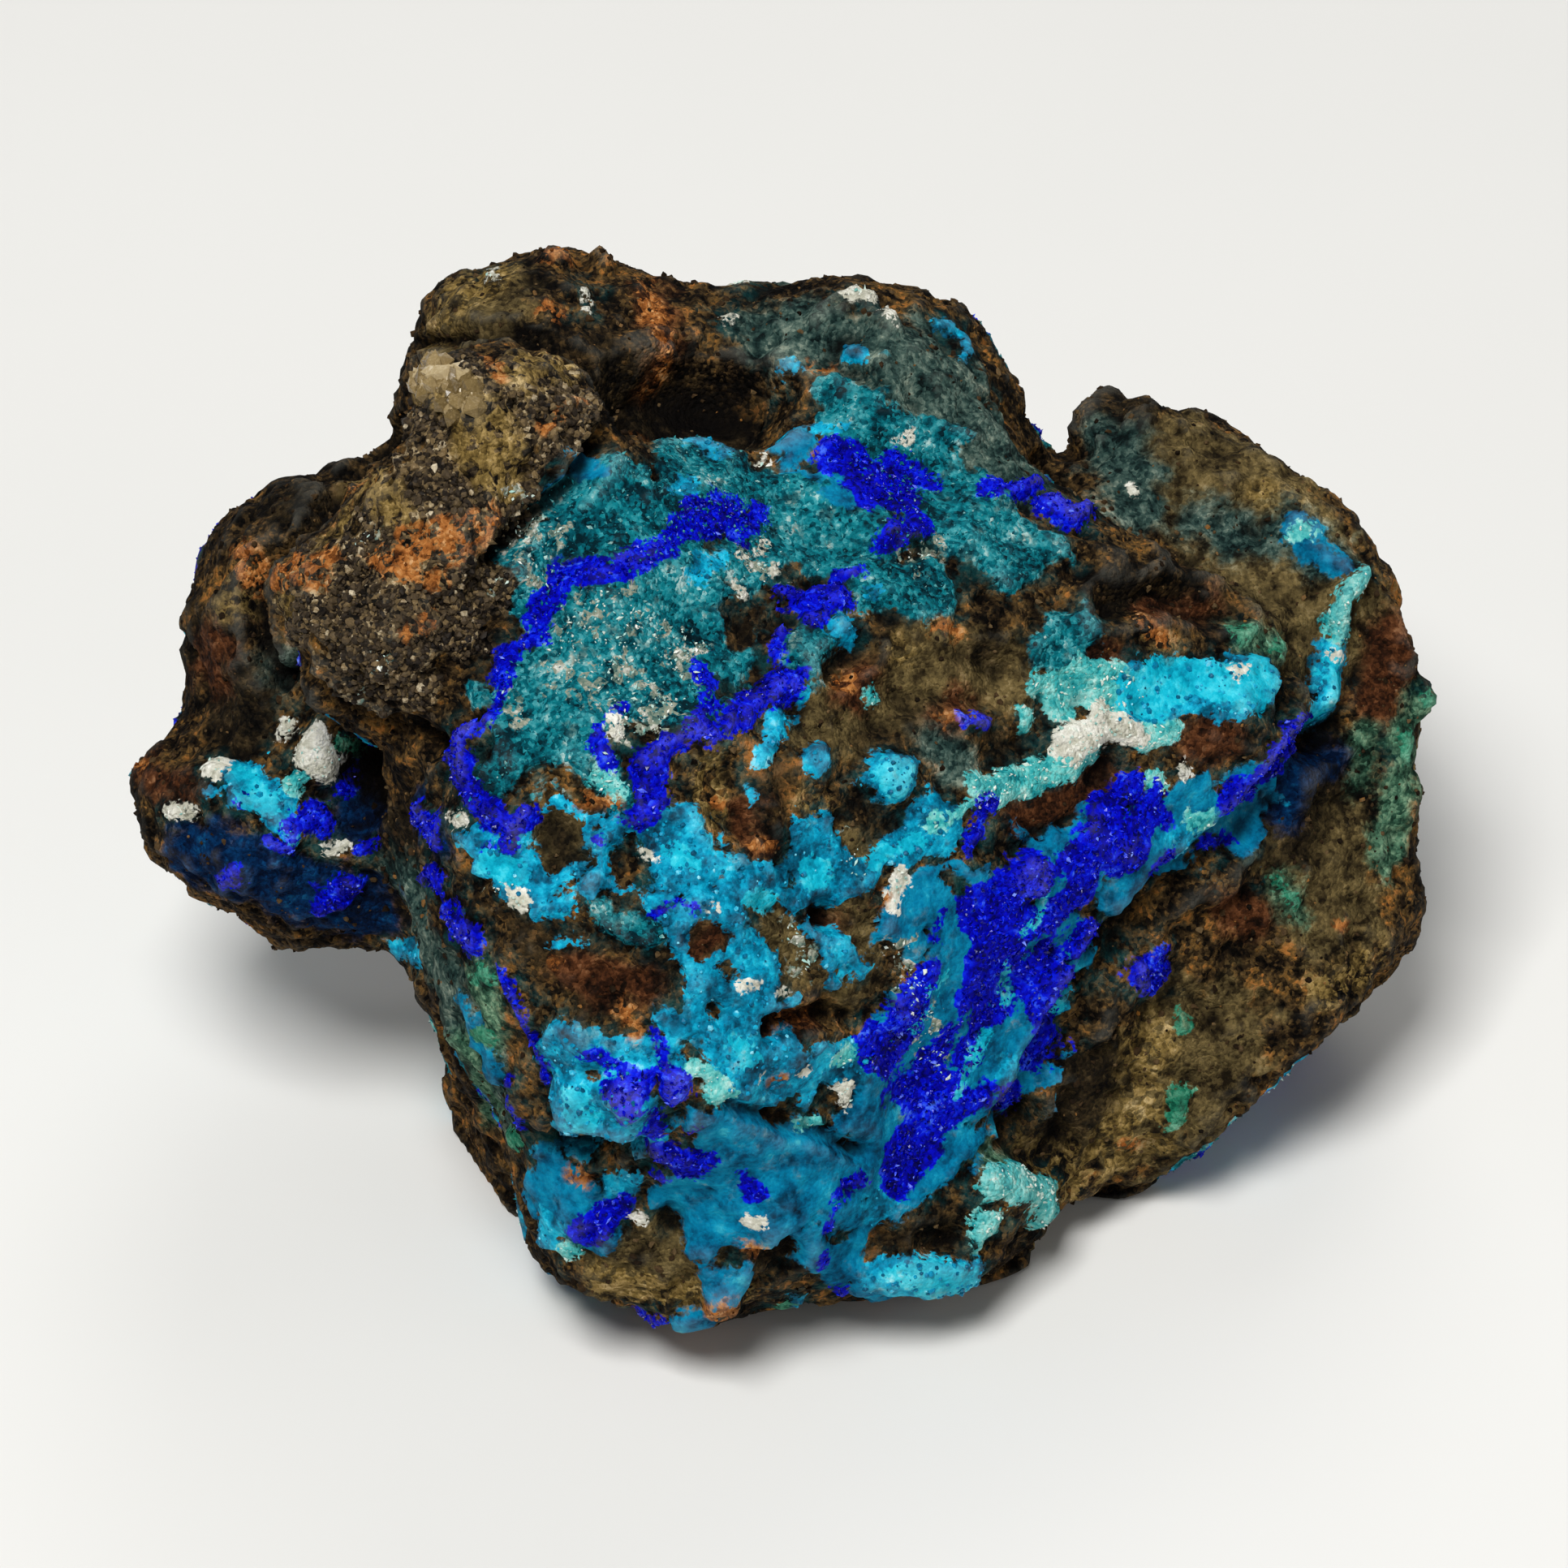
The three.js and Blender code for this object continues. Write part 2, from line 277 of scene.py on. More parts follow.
brightTurquoise = {
    "colours": [(0, 100, 128), (0, 148, 176), (16, 178, 202), (66, 202, 220), (160, 226, 234)],
    "tone": (0.47, 0.5, 1.5, 0.9, 0.2),
    "stained": 0.6,
    "patches": [
        (30, (1400, 852), (1482, 836), (1550, 843)), (20, (1090, 958), (1100, 955)),
        (14, (836, 1046), (850, 1058)), (16, (1008, 1074), (1016, 1084)), (18, (926, 1110), (940, 1116)),
        (12, (1640, 800), (1632, 865)), (18, (296, 954), (330, 990)), (18, (600, 1062), (640, 1080)),
        (16, (712, 1344), (722, 1366)), (20, (1115, 1570), (1190, 1580)), (14, (912, 1290), (916, 1300)),
        (12, (1080, 1062), (1130, 1030)), (7, (1246, 1196), (1240, 1236)), (8, (1336, 1196), (1312, 1250)),
        (6, (1290, 1100), (1262, 1160)), (7, (1160, 1200), (1128, 1262)), (6, (1216, 1270), (1180, 1340)),
    ],
}
deepTeal = {
    "colours": [(0, 28, 46), (0, 76, 110), (0, 114, 152), (12, 138, 172), (60, 170, 188)],
    "tone": (0.48, 0.6, 1.6, 0.8, 0.15),
    "soft": 0.12,  # half the width of its edge, in millimetres
    "stained": 0.6,
    "seed": 46,
    "ground": [
        (70, (1170, 1120), (1160, 1300), (1110, 1420)), (60, (1250, 1180), (1240, 1340)),
        (56, (1330, 1060), (1420, 1030), (1540, 990)), (66, (890, 1420), (1000, 1440)),
        (46, (860, 1490), (960, 1490)), (40, (690, 1470), (720, 1500)), (20, (1590, 645), (1640, 690)),
        (40, (1000, 1540), (1080, 1580)), (40, (720, 600), (780, 640)), (44, (980, 590), (1060, 620)),
        (34, (1150, 610), (1190, 630)), (30, (820, 700), (870, 740)),
    ],
    "patches": [
        (52, (905, 1420), (960, 1440), (1010, 1430)), (40, (870, 1490), (930, 1500)),
        (34, (1170, 1110), (1180, 1190), (1160, 1250)), (42, (1160, 1290), (1210, 1330), (1150, 1420)),
        (36, (1250, 1180), (1262, 1240), (1240, 1300)), (30, (1090, 1330), (1070, 1380)),
        (14, (566, 1240), (604, 1330)), (26, (1320, 1050), (1400, 1030), (1380, 1110)),
        (26, (1300, 1130), (1350, 1190)), (22, (1490, 1020), (1540, 1015)), (20, (880, 1582), (910, 1584)),
        (18, (840, 1634), (870, 1632)), (30, (670, 1470), (700, 1500)), (24, (1000, 1480), (1060, 1500)),
    ],
}
tealCrust = {
    "colours": [(0, 32, 40), (0, 78, 90), (12, 118, 128), (66, 150, 156), (170, 200, 194)],
    "tone": (0.40, 1.6, 1.5, 1.2, 0.5),
    "soft": 0.14,
    "stained": 0.8,
    "seed": 47,
    "ground": [
        (56, (700, 640), (660, 730)), (66, (770, 640), (850, 600), (900, 590)),
        (80, (690, 860), (780, 790), (860, 720)), (64, (820, 850), (850, 820)),
        (60, (950, 660), (1070, 660)), (60, (1060, 520), (1120, 570), (1180, 640)),
        (46, (1200, 650), (1260, 680)), (40, (650, 930), (730, 940)), (30, (990, 790), (1010, 800)),
        (40, (1090, 720), (1150, 730)), (30, (760, 1120), (790, 1150)),
    ],
    "patches": [
        (40, (700, 630), (680, 670), (660, 720)), (44, (740, 640), (770, 660)),
        (52, (690, 820), (680, 870), (650, 900)), (54, (760, 760), (780, 800), (740, 850)),
        (52, (840, 700), (850, 760)), (44, (820, 830), (850, 870)), (28, (670, 920), (715, 925)),
        (34, (900, 700), (930, 690)), (32, (965, 640), (1030, 660), (1070, 655)),
        (22, (1105, 715), (1140, 725)), (32, (1205, 650), (1255, 680)),
        (42, (1060, 520), (1110, 560), (1150, 600)), (32, (840, 540), (890, 580)),
        (30, (770, 590), (800, 620)), (30, (700, 780), (640, 850)), (26, (890, 780), (910, 810)),
        (26, (740, 950), (755, 975)), (24, (980, 600), (1000, 640)), (20, (740, 1120), (785, 1145)),
        (24, (640, 960), (610, 950)), (26, (1000, 790), (985, 810)), (30, (1330, 780), (1300, 800)),
    ],
}
paleAqua = {
    "colours": [(4, 100, 110), (36, 152, 156), (88, 188, 184), (148, 212, 204), (212, 234, 226)],
    "tone": (0.48, 0, 1.2, 1.3, 0.3),
    "stained": 0.3,
    "patches": [
        (26, (1222, 968), (1256, 966), (1294, 954), (1330, 930)), (12, (1264, 890), (1268, 880)),
        (38, (1316, 850), (1366, 846)), (20, (1400, 915), (1440, 900)), (17, (1422, 966), (1430, 964)),
        (16, (1476, 1010), (1486, 1008)), (18, (866, 1320), (892, 1350)),
        (27, (1225, 1452), (1260, 1470), (1282, 1482)), (14, (1220, 1500), (1214, 1540)),
        (11, (1000, 1390), (1012, 1391)), (20, (742, 958), (750, 964)),
        (14, (1680, 706), (1666, 720), (1652, 750), (1641, 785)), (12, (1036, 1302), (1046, 1298)),
        (13, (1596, 656), (1606, 654)), (14, (366, 968), (374, 960)), (11, (696, 1546), (706, 1544)),
        (10, (1078, 849), (1083, 847)), (10, (1150, 1014), (1202, 994)),
    ],
}
whiteSkin = {
    "colours": [(132, 132, 114), (184, 182, 164), (216, 214, 200), (240, 238, 228)],
    "tone": (0.55, 0, 1.2, 1.6, 0.3),
    "stained": 0.3,
    "patches": [
        (25, (1308, 920), (1326, 906), (1352, 894), (1384, 906)), (11, (754, 890), (760, 897)),
        (15, (1114, 1086), (1108, 1108)), (14, (1040, 1346), (1045, 1349)), (8, (934, 1323), (938, 1322)),
        (9, (990, 1316), (995, 1314)), (9, (1521, 826), (1526, 824)), (9, (1638, 804), (1644, 803)),
        (8, (1463, 942), (1464, 954)), (9, (937, 671), (941, 674)), (7, (910, 688), (915, 689)),
        (9, (958, 700), (963, 701)), (8, (914, 724), (917, 727)), (11, (922, 1219), (930, 1222)),
        (7, (963, 1225), (968, 1226)), (7, (876, 1117), (881, 1119)), (12, (632, 1108), (640, 1112)),
        (9, (558, 1008), (563, 1012)), (13, (926, 1504), (936, 1507)), (9, (783, 1504), (788, 1506)),
        (8, (693, 1412), (699, 1414)), (26, (388, 918), (390, 936)), (15, (262, 942), (270, 938)),
        (13, (210, 998), (221, 995)), (12, (342, 904), (350, 900)), (8, (404, 1050), (426, 1036)),
        (12, (1050, 370), (1064, 376)), (6, (1088, 392), (1094, 398)), (11, (1113, 538), (1118, 537)),
        (11, (908, 335), (914, 336)), (9, (893, 390), (898, 391)), (7, (727, 352), (724, 374)),
        (11, (813, 304), (819, 306)), (10, (935, 560), (940, 561)), (11, (1392, 600), (1399, 600)),
        (8, (798, 1054), (806, 1057)), (8, (600, 323), (610, 327)),
    ],
}
malachite = {
    "colours": [(10, 72, 54), (34, 116, 88), (86, 154, 124), (146, 190, 162)],
    "tone": (0.45, 0, 1.4, 1.4, 0.3),
    "stained": 0.8,
    "patches": [
        (13, (1533, 775), (1538, 774)), (13, (588, 1206), (596, 1212)), (10, (589, 1279), (592, 1282)),
        (13, (628, 1400), (631, 1404)), (6, (422, 915), (428, 940)), (9, (1585, 1085), (1598, 1110)),
        (15, (1453, 1354), (1449, 1384)), (10, (1456, 1254), (1460, 1262)), (9, (1776, 850), (1762, 864)),
        (8, (1738, 905), (1734, 935)), (11, (1578, 790), (1583, 789)), (8, (968, 1612), (973, 1614)),
    ],
}
rust = {
    "colours": [(54, 28, 11), (106, 60, 25), (150, 90, 41), (178, 118, 62), (204, 156, 106)],
    "tone": (0.5, 0, 1.4, 1.4, 0.5),
    "soft": 0.22,
    "sparse": 0.3,  # share of the grains it leaves bare
    "patches": [
        (9, (722, 984), (752, 986)), (12, (1048, 825), (1053, 826)), (9, (944, 1040), (953, 1034)),
        (9, (893, 984), (898, 988)), (11, (768, 1249), (786, 1274)), (9, (678, 1189), (684, 1192)),
        (11, (975, 1262), (1010, 1244)), (9, (1087, 1104), (1091, 1107)), (13, (1162, 772), (1184, 779)),
        (8, (598, 432), (610, 450), (620, 465)), (11, (676, 518), (690, 508)), (8, (713, 491), (717, 489)),
        (20, (500, 664), (545, 660), (606, 640)), (14, (458, 688), (500, 682), (560, 684), (590, 664)),
        (12, (470, 706), (540, 712)), (22, (334, 712), (358, 698), (395, 692)),
        (10, (505, 785), (518, 770), (530, 758)), (10, (441, 592), (449, 589)),
        (16, (682, 314), (688, 317)), (13, (684, 380), (690, 383)),
        (16, (800, 350), (820, 400), (836, 440)), (13, (1008, 445), (1014, 446)),
        (20, (296, 684), (302, 700)), (13, (1416, 766), (1442, 786)), (10, (1653, 1140), (1658, 1142)),
        (13, (1396, 1420), (1404, 1422)), (10, (712, 1455), (719, 1457)), (11, (922, 1541), (929, 1542)),
        (22, (888, 1607), (893, 1608)), (9, (165, 928), (170, 934)), (8, (1170, 885), (1175, 886)),
        (9, (958, 1335), (963, 1336)), (8, (818, 505), (823, 506)),
    ],
}
# the rusty, sandy knob that stands out of the crust
gossan = {
    "colours": [(9, 7, 5), (38, 31, 23), (74, 62, 45), (112, 93, 62), (180, 162, 128)],
    "tone": (0.40, 0, 1.5, 1.0, 0.75),
    "clears": ("tealCrust", "deepTeal"),  # the crusts that stop at it
    "patches": [
        (80, (560, 500), (600, 600)), (86, (520, 640), (470, 720)), (66, (400, 700), (440, 790)),
        (60, (540, 760), (580, 730)), (64, (690, 490), (620, 480)), (48, (500, 840), (450, 850)),
        (40, (350, 720), (360, 760)),
    ],
}
# tones of the matrix and thin films on it, some of them with painted shade
ochre = {
    "colours": [(40, 31, 14), (86, 69, 35), (124, 102, 55), (158, 132, 80), (192, 166, 116)],
    "tone": (0.45, 0.8, 1.5, 1.4, 0.45),
    "soft": 0.55,
    "sparse": 0.34,
    "patches": [
        (40, (590, 520), (618, 580)), (26, (440, 586), (470, 604)), (18, (420, 640), (400, 660)),
        (26, (530, 470), (560, 490)), (20, (478, 626), (490, 632)), (30, (640, 450), (690, 440)),
        (30, (745, 1585), (820, 1600), (900, 1606)), (18, (1416, 768), (1440, 784)),
        (20, (290, 720), (270, 760)), (20, (340, 720), (352, 745)), (26, (540, 400), (520, 420)),
        (16, (955, 1336), (962, 1340)), (20, (1400, 1410), (1380, 1380)), (24, (880, 950), (890, 1000)),
        (24, (1640, 1222), (1692, 1192)), (50, (1300, 1440), (1400, 1405)),
        (32, (1425, 1285), (1395, 1335)), (12, (1048, 822), (1056, 826)), (14, (1160, 768), (1176, 774)),
        (11, (1168, 884), (1176, 888)), (13, (998, 984), (1020, 1000)), (12, (900, 985), (892, 1000)),
        (12, (1105, 790), (1118, 800)), (14, (975, 1250), (1000, 1242)), (34, (560, 350), (600, 330)),
        (24, (1560, 610), (1640, 660)),
    ],
}
redBrown = {
    "colours": [(14, 6, 2), (40, 20, 9), (72, 40, 20), (102, 62, 36), (132, 92, 62)],
    "tone": (0.45, 0.8, 1.5, 1.4, 0.4),
    "soft": 0.6,
    "patches": [
        (34, (1722, 780), (1700, 860)), (30, (1480, 905), (1510, 915)), (24, (1335, 812), (1375, 815)),
        (24, (1265, 1010), (1330, 980), (1365, 962)), (26, (1520, 1120), (1560, 1130)),
        (24, (1440, 745), (1500, 735)), (24, (1075, 820), (1060, 840)), (22, (1200, 860), (1180, 880)),
        (24, (700, 1200), (790, 1225)), (20, (930, 1000), (945, 1040)), (22, (170, 945), (215, 965)),
        (30, (250, 830), (260, 790)), (24, (810, 360), (830, 430)), (20, (1020, 1135), (1035, 1140)),
        (20, (860, 1170), (885, 1160)), (18, (1000, 1255), (960, 1268)),
    ],
}
# dark matrix and painted shade: the wide patches in the hollow behind the knob, along the knob's crevices,
# under the right block's shelf and over the left mass paint shade as near-black colour; the small spots are
# the matrix's own dark brown
darkMatrixAndShade = {
    "colours": [(2, 1, 1), (13, 10, 6), (32, 25, 14), (54, 43, 26), (84, 68, 44)],
    "tone": (0.42, 0.8, 1.5, 1.4, 0.4),
    "soft": 0.9,
    "patches": [
        (16, (482, 524), (434, 570), (398, 612), (370, 645), (318, 680), (300, 730), (312, 800)),
        (12, (505, 424), (560, 406), (620, 398), (690, 424), (742, 452)), (60, (245, 800), (290, 880)),
        (36, (330, 620), (390, 590)), (50, (800, 470), (900, 500)), (26, (745, 420), (780, 480)),
        (18, (748, 545), (690, 612), (640, 665), (612, 700)), (36, (1390, 730), (1520, 740)),
        (40, (1310, 1390), (1350, 1330)), (30, (940, 1556), (1000, 1548)), (30, (440, 950), (480, 1040)),
        (30, (720, 1230), (640, 1140)), (26, (700, 1060), (690, 1030)), (30, (1640, 960), (1600, 1040)),
        (24, (1110, 1520), (1180, 1520)), (30, (1340, 470), (1400, 490)), (20, (1006, 804), (1042, 782)),
        (17, (1096, 760), (1110, 752)), (17, (1128, 884), (1162, 872)), (17, (962, 950), (950, 1000)),
        (15, (1228, 905), (1246, 925)), (15, (1056, 996), (1092, 1012)), (17, (1282, 776), (1300, 770)),
        (14, (1080, 900), (1110, 915)), (16, (1210, 800), (1232, 792)), (14, (905, 780), (925, 765)),
        (16, (840, 1190), (815, 1205)), (14, (700, 1160), (730, 1170)),
    ],
}
greenFilm = {
    "colours": [(10, 28, 20), (36, 68, 52), (72, 110, 86), (112, 146, 116), (150, 176, 146)],
    "tone": (0.45, 0.8, 1.5, 1.4, 0.4),
    "soft": 0.5,
    "patches": [
        (26, (1752, 880), (1736, 950), (1714, 1050)), (18, (1212, 1424), (1240, 1436)),
        (18, (588, 1205), (598, 1280)), (20, (1545, 776), (1582, 790)), (18, (560, 1290), (606, 1380)),
        (16, (1590, 1090), (1600, 1120)), (14, (1690, 900), (1680, 960)),
    ],
}
taupe = {
    "colours": [(24, 18, 8), (56, 46, 26), (86, 73, 44), (112, 95, 58), (138, 120, 82)],
    "tone": (0.45, 1.0, 1.5, 1.4, 0.35),
    "soft": 0.7,
    "patches": [
        (90, (1480, 580), (1560, 640), (1640, 760)), (70, (1620, 1020), (1640, 1120)),
        (80, (1400, 1390), (1490, 1290)), (56, (1030, 880), (1150, 820), (1240, 830)),
        (36, (688, 1040), (696, 1020)), (26, (872, 1158), (882, 1164)), (36, (1045, 1060), (1050, 1210)),
        (60, (600, 360), (560, 400)), (34, (960, 1160), (975, 1180)), (50, (850, 1560), (760, 1570)),
    ],
}
# grey-teal film on the matrix; its patch down the left flank is painted shade, a dark film where the flank
# lies in shadow
greyTealAndShade = {
    "colours": [(6, 16, 16), (24, 44, 42), (52, 74, 68), (88, 106, 96), (132, 144, 128)],
    "tone": (0.45, 1.0, 1.6, 1.4, 0.4),
    "soft": 0.6,
    "patches": [
        (70, (1120, 440), (1200, 500), (1240, 560)), (40, (1375, 540), (1400, 620)),
        (30, (1480, 640), (1540, 660)), (44, (490, 1090), (550, 1230), (600, 1360)),
        (36, (330, 830), (300, 860)), (44, (950, 400), (1060, 420)), (36, (1580, 650), (1640, 680)),
        (30, (1180, 940), (1160, 910)),
    ],
}
# dark navy film; its patches on the left lobe's underside and the left flank are painted shade over the
# blues there
navyFilmAndShade = {
    "colours": [(0, 6, 22), (0, 20, 50), (2, 46, 88), (16, 84, 126)],
    "tone": (0.45, 0, 1.6, 1.2, 0.3),
    "soft": 0.5,
    "patches": [
        (50, (240, 1060), (340, 1095), (440, 1125)), (24, (510, 1000), (530, 1040)),
        (22, (420, 975), (440, 1010)), (24, (1640, 930), (1590, 1000)),
    ],
}
frost = {
    "colours": [(44, 84, 82), (98, 120, 108), (148, 150, 132), (208, 208, 198)],
    "tone": (0.5, 0, 1.2, 1.4, 0.5),
    "sparse": 0.74,
    "patches": [
        (44, (740, 760), (790, 790)), (44, (760, 850), (800, 880)), (30, (690, 830), (700, 800)),
        (26, (840, 800), (850, 830)), (18, (910, 690), (960, 705)), (18, (600, 1105), (640, 1100)),
        (20, (985, 1150), (995, 1190)), (18, (1045, 1045), (1060, 1075)), (16, (620, 855), (640, 880)),
        (26, (678, 645), (660, 705)), (18, (1120, 690), (1150, 680)), (22, (1110, 1170), (1160, 1330)),
        (16, (630, 620), (645, 610)), (14, (612, 716), (606, 724)), (14, (465, 812), (480, 820)),
        (12, (438, 862), (444, 868)), (18, (440, 660), (450, 655)),
    ],
}
# where the matrix shows through the crusts
bareMatrix = {
    "clears": ("tealCrust", "chrysocolla", "deepTeal"),
    "patches": [
        (24, (908, 762), (918, 770)), (13, (633, 985), (655, 957), (690, 953), (735, 984)),
        (36, (688, 1030), (695, 1042)), (22, (768, 1056), (772, 1066)), (22, (872, 1160), (880, 1164)),
        (9, (898, 1200), (903, 1203)), (19, (812, 1214), (819, 1219)), (11, (890, 1252), (893, 1256)),
        (14, (858, 1298), (864, 1300)), (30, (905, 960), (910, 1010)), (16, (1080, 758), (1084, 764)),
        (20, (1165, 772), (1180, 778)), (16, (1036, 808), (1046, 814)), (15, (1022, 1128), (1030, 1130)),
        (12, (828, 1370), (833, 1375)), (14, (1085, 1188), (1090, 1194)), (16, (700, 1408), (776, 1410)),
        (13, (950, 1265), (985, 1255), (1010, 1246), (1050, 1256)), (18, (960, 1556), (970, 1558)),
        (18, (1115, 1520), (1150, 1490), (1190, 1470)), (13, (820, 1512), (826, 1516)),
        (5, (1385, 913), (1389, 914)), (24, (940, 1125), (985, 1172)), (26, (915, 1025), (960, 1044)),
        (12, (1062, 1032), (1070, 1050)), (14, (1170, 1078), (1184, 1090)),
    ],
}
# all that lies on the matrix, each over the ones before it
deposits = {
    "gossan": gossan, "taupe": taupe, "ochre": ochre, "greyTealAndShade": greyTealAndShade, "darkMatrixAndShade": darkMatrixAndShade,
    "redBrown": redBrown, "greenFilm": greenFilm, "navyFilmAndShade": navyFilmAndShade, "deepTeal": deepTeal,
    "tealCrust": tealCrust, "frost": frost, "chrysocolla": chrysocolla, "paleAqua": paleAqua,
    "azurite": azurite, "brightTurquoise": brightTurquoise, "whiteSkin": whiteSkin,
    "malachite": malachite, "rust": rust,
}
# The sides that the picture doesn't show: crusts keep to zones, veins run through them, and the rest is
# matrix. Each kind has its start level, the length of its patches in millimetres and a seed.
unseenSides = {
    "zone": (-0.1, 15.0, 2),
    "zoneSlope": 6,  # millimetres to one unit of the zones' noise
    "slope": 3.2,  # the same for the patches in them
    "octaves": 3,
    "fade": 4,  # how strongly all this gives way to what the picture shows
    "veinReach": 0.6,  # how far the veins run out of a zone
    "inZone": {
        "tealCrust": (0.14, 6.0, 7),
        "chrysocolla": (-0.08, 6.5, 5),
        "deepTeal": (0.02, 7.0, 6),
        "brightTurquoise": (-0.35, 5.0, 13),
        "paleAqua": (-0.52, 4.0, 8),
        "frost": (-0.25, 4.5, 17),
    },
    "offZone": {
        "taupe": (0.0, 8.0, 14),
        "ochre": (-0.25, 7.0, 18),
        "redBrown": (-0.2, 6.0, 19),
        "darkMatrixAndShade": (-0.1, 7.0, 20),
        "rust": (-0.45, 5.0, 11),
        "greyTealAndShade": (-0.12, 9.0, 15),
    },
    "veins": {"azurite": (0.085, 9.0, 3)},
    "anywhere": {
        "greenFilm": (-0.42, 8.0, 12),
        "navyFilmAndShade": (-0.5, 6.0, 16),
        "whiteSkin": (-0.72, 3.6, 9),
        "malachite": (-0.66, 4.5, 10),
    },
}
patchRules = {
    "depthShare": 0.5,  # a patch reaches twice as far into the picture as across it
    "walk": (0.45, 3),  # spacing of the points along a path: half widths, and the least in pixels
    "bend": (0.4, 1.7, 2),  # how far the patches' edges wander, over what length, and octaves
    "bendSeeds": (21, 22, 23),
    "fray": (0.5, 1.0, 3, 24),  # share of its half width a patch loses or gains, length, octaves, seed
    "groundFray": (1.0, 2.3, 4),  # the same for the wide ground crusts, each with its own seed
    "groundLoss": 0.1,  # share of their half width by which they are drawn in
    "farOff": -1.5,  # millimetres outside a patch from which it counts as far away
    "sightLift": 0.1,  # where a line of sight starts above the surface
    "sightRounds": 12,  # rounds of smoothing of what is in sight
    "sightEdge": (0.1, 0.45),  # shares in sight at which a place starts to count as seen, and counts fully
    "hiddenCost": 1e4,  # square pixels that a hidden place counts as farther away
}


def remeshed(source, spacing):
    blank = bpy.data.objects.new("stoneBlank", source.data.copy())
    bpy.context.scene.collection.objects.link(blank)
    cover = blank.modifiers.new("cover", "REMESH")
    cover.mode = "VOXEL"
    cover.voxel_size = spacing * mm
    graph = bpy.context.evaluated_depsgraph_get()
    mesh = bpy.data.meshes.new_from_object(blank.evaluated_get(graph))
    bpy.data.objects.remove(blank)
    return mesh


def verticesOf(mesh):
    flat = np.zeros(len(mesh.vertices) * 3, np.float32)
    mesh.vertices.foreach_get("co", flat)
    return flat.reshape(-1, 3).astype(float) / mm


def normalsOf(mesh, places):
    mesh.vertices.foreach_set("co", (places * mm).astype(np.float32).ravel())
    mesh.update()
    flat = np.zeros(len(mesh.vertices) * 3, np.float32)
    mesh.vertices.foreach_get("normal", flat)
    return flat.reshape(-1, 3).astype(float)


def smoothed(values, edges, rounds, share=0.6):
    # each value moves towards the mean of its neighbours
    ends = edges.ravel()
    others = edges[:, ::-1].ravel()
    count = np.bincount(ends, minlength=len(values))
    columns = values.reshape(len(values), -1).copy()
    for _ in range(rounds):
        for i in range(columns.shape[1]):
            mean = np.bincount(ends, columns[others, i], len(values)) / count
            columns[:, i] += share * (mean - columns[:, i])
    return columns.reshape(values.shape)


print("stone body: taking the solid's form")
stoneMesh = remeshed(frame["nodes"]["specimen"], stoneBody["grid"])
stoneMesh.name = "stone"
places = verticesOf(stoneMesh)
edgeEnds = np.zeros(len(stoneMesh.edges) * 2, np.int32)
stoneMesh.edges.foreach_get("vertices", edgeEnds)
edgeEnds = edgeEnds.reshape(-1, 2)
floorLevel = places[:, 2].min()
resting = places[:, 2] < floorLevel + stoneBody["footing"]
soft = smoothed(places, edgeEnds, stoneBody["softening"])
places = np.where(resting[:, None], places, soft)
normals = normalsOf(stoneMesh, places)
faceCorners = [tuple(face.vertices) for face in stoneMesh.polygons]
stoneTree = BVHTree.FromPolygons([Vector(place) for place in places], faceCorners)
picture = toPicture(places)
print("  %d vertices" % len(places))

# which part of the surface the picture shows
sightStart = places + normals * patchRules["sightLift"]
sightLine = eye - sightStart
sightLine /= np.linalg.norm(sightLine, axis=1)[:, None]
inSight = np.array([
    stoneTree.ray_cast(Vector(start), Vector(line))[0] is None
    for start, line in zip(sightStart, sightLine)])
inSight = smoothed(inSight.astype(float), edgeEnds, patchRules["sightRounds"])
seen = smoothStep(*patchRules["sightEdge"], inSight)


def depthAt(x, y):
    # how far out of the face the stone lies behind a pixel
    right = view["pixel"] * (x - pictureMiddle)
    above = view["pixel"] * (pictureMiddle - y)
    line = across * right + up * above - out * view["distance"]
    hit = stoneTree.ray_cast(Vector(eye), Vector(line).normalized())[0]
    if hit is None:
        gaps = (picture[:, 0] - x) ** 2 + (picture[:, 1] - y) ** 2
        return picture[np.argmin(gaps + patchRules["hiddenCost"] * (1 - seen)), 2]
    return (np.array(hit) - aim) @ out


def walked(path, step):
    # points along a path, a step apart
    points = [path[0]]
    for start, end in zip(path[:-1], path[1:]):
        count = max(1, math.ceil(math.dist(start, end) / step))
        for i in range(1, count + 1):
            points.append(tuple(a + (b - a) * i / count for a, b in zip(start, end)))
    return points


flatScale = np.array((view["pixel"], view["pixel"], patchRules["depthShare"]))


def patchField(patches, spots, fray=0.0):
    # how many millimetres inside the nearest patch each spot is, less than nought outside
    field = np.full(len(spots), patchRules["farOff"])
    walk, leastWalk = patchRules["walk"]
    for halfWidth, *path in patches:
        radius = halfWidth * view["pixel"]
        frayed = radius * (1 + fray)
        for x, y in walked(path, max(leastWalk, halfWidth * walk)):
            middle = np.array((x, y, depthAt(x, y))) * flatScale
            np.maximum(field, frayed - np.linalg.norm(spots - middle, axis=1), out=field)
    return field


def noiseLevel(start, length, seed):
    return waves(places, length, unseenSides["octaves"], seed) + start


crustZone = unseenSides["zoneSlope"] * noiseLevel(*unseenSides["zone"])


def unseenField(name):
    # the same measure as a patch's field, from noise alone
    slope = unseenSides["slope"]
    if name in unseenSides["inZone"]:
        return np.minimum(crustZone, slope * noiseLevel(*unseenSides["inZone"][name]))
    if name in unseenSides["offZone"]:
        return np.minimum(-crustZone, slope * noiseLevel(*unseenSides["offZone"][name]))
    if name in unseenSides["veins"]:
        halfWidth, length, seed = unseenSides["veins"][name]
        vein = halfWidth - np.abs(noiseLevel(0, length, seed))
        return np.minimum(crustZone + unseenSides["veinReach"], slope * vein)
    if name in unseenSides["anywhere"]:
        return slope * noiseLevel(*unseenSides["anywhere"][name])
    return np.full(len(places), patchRules["farOff"])


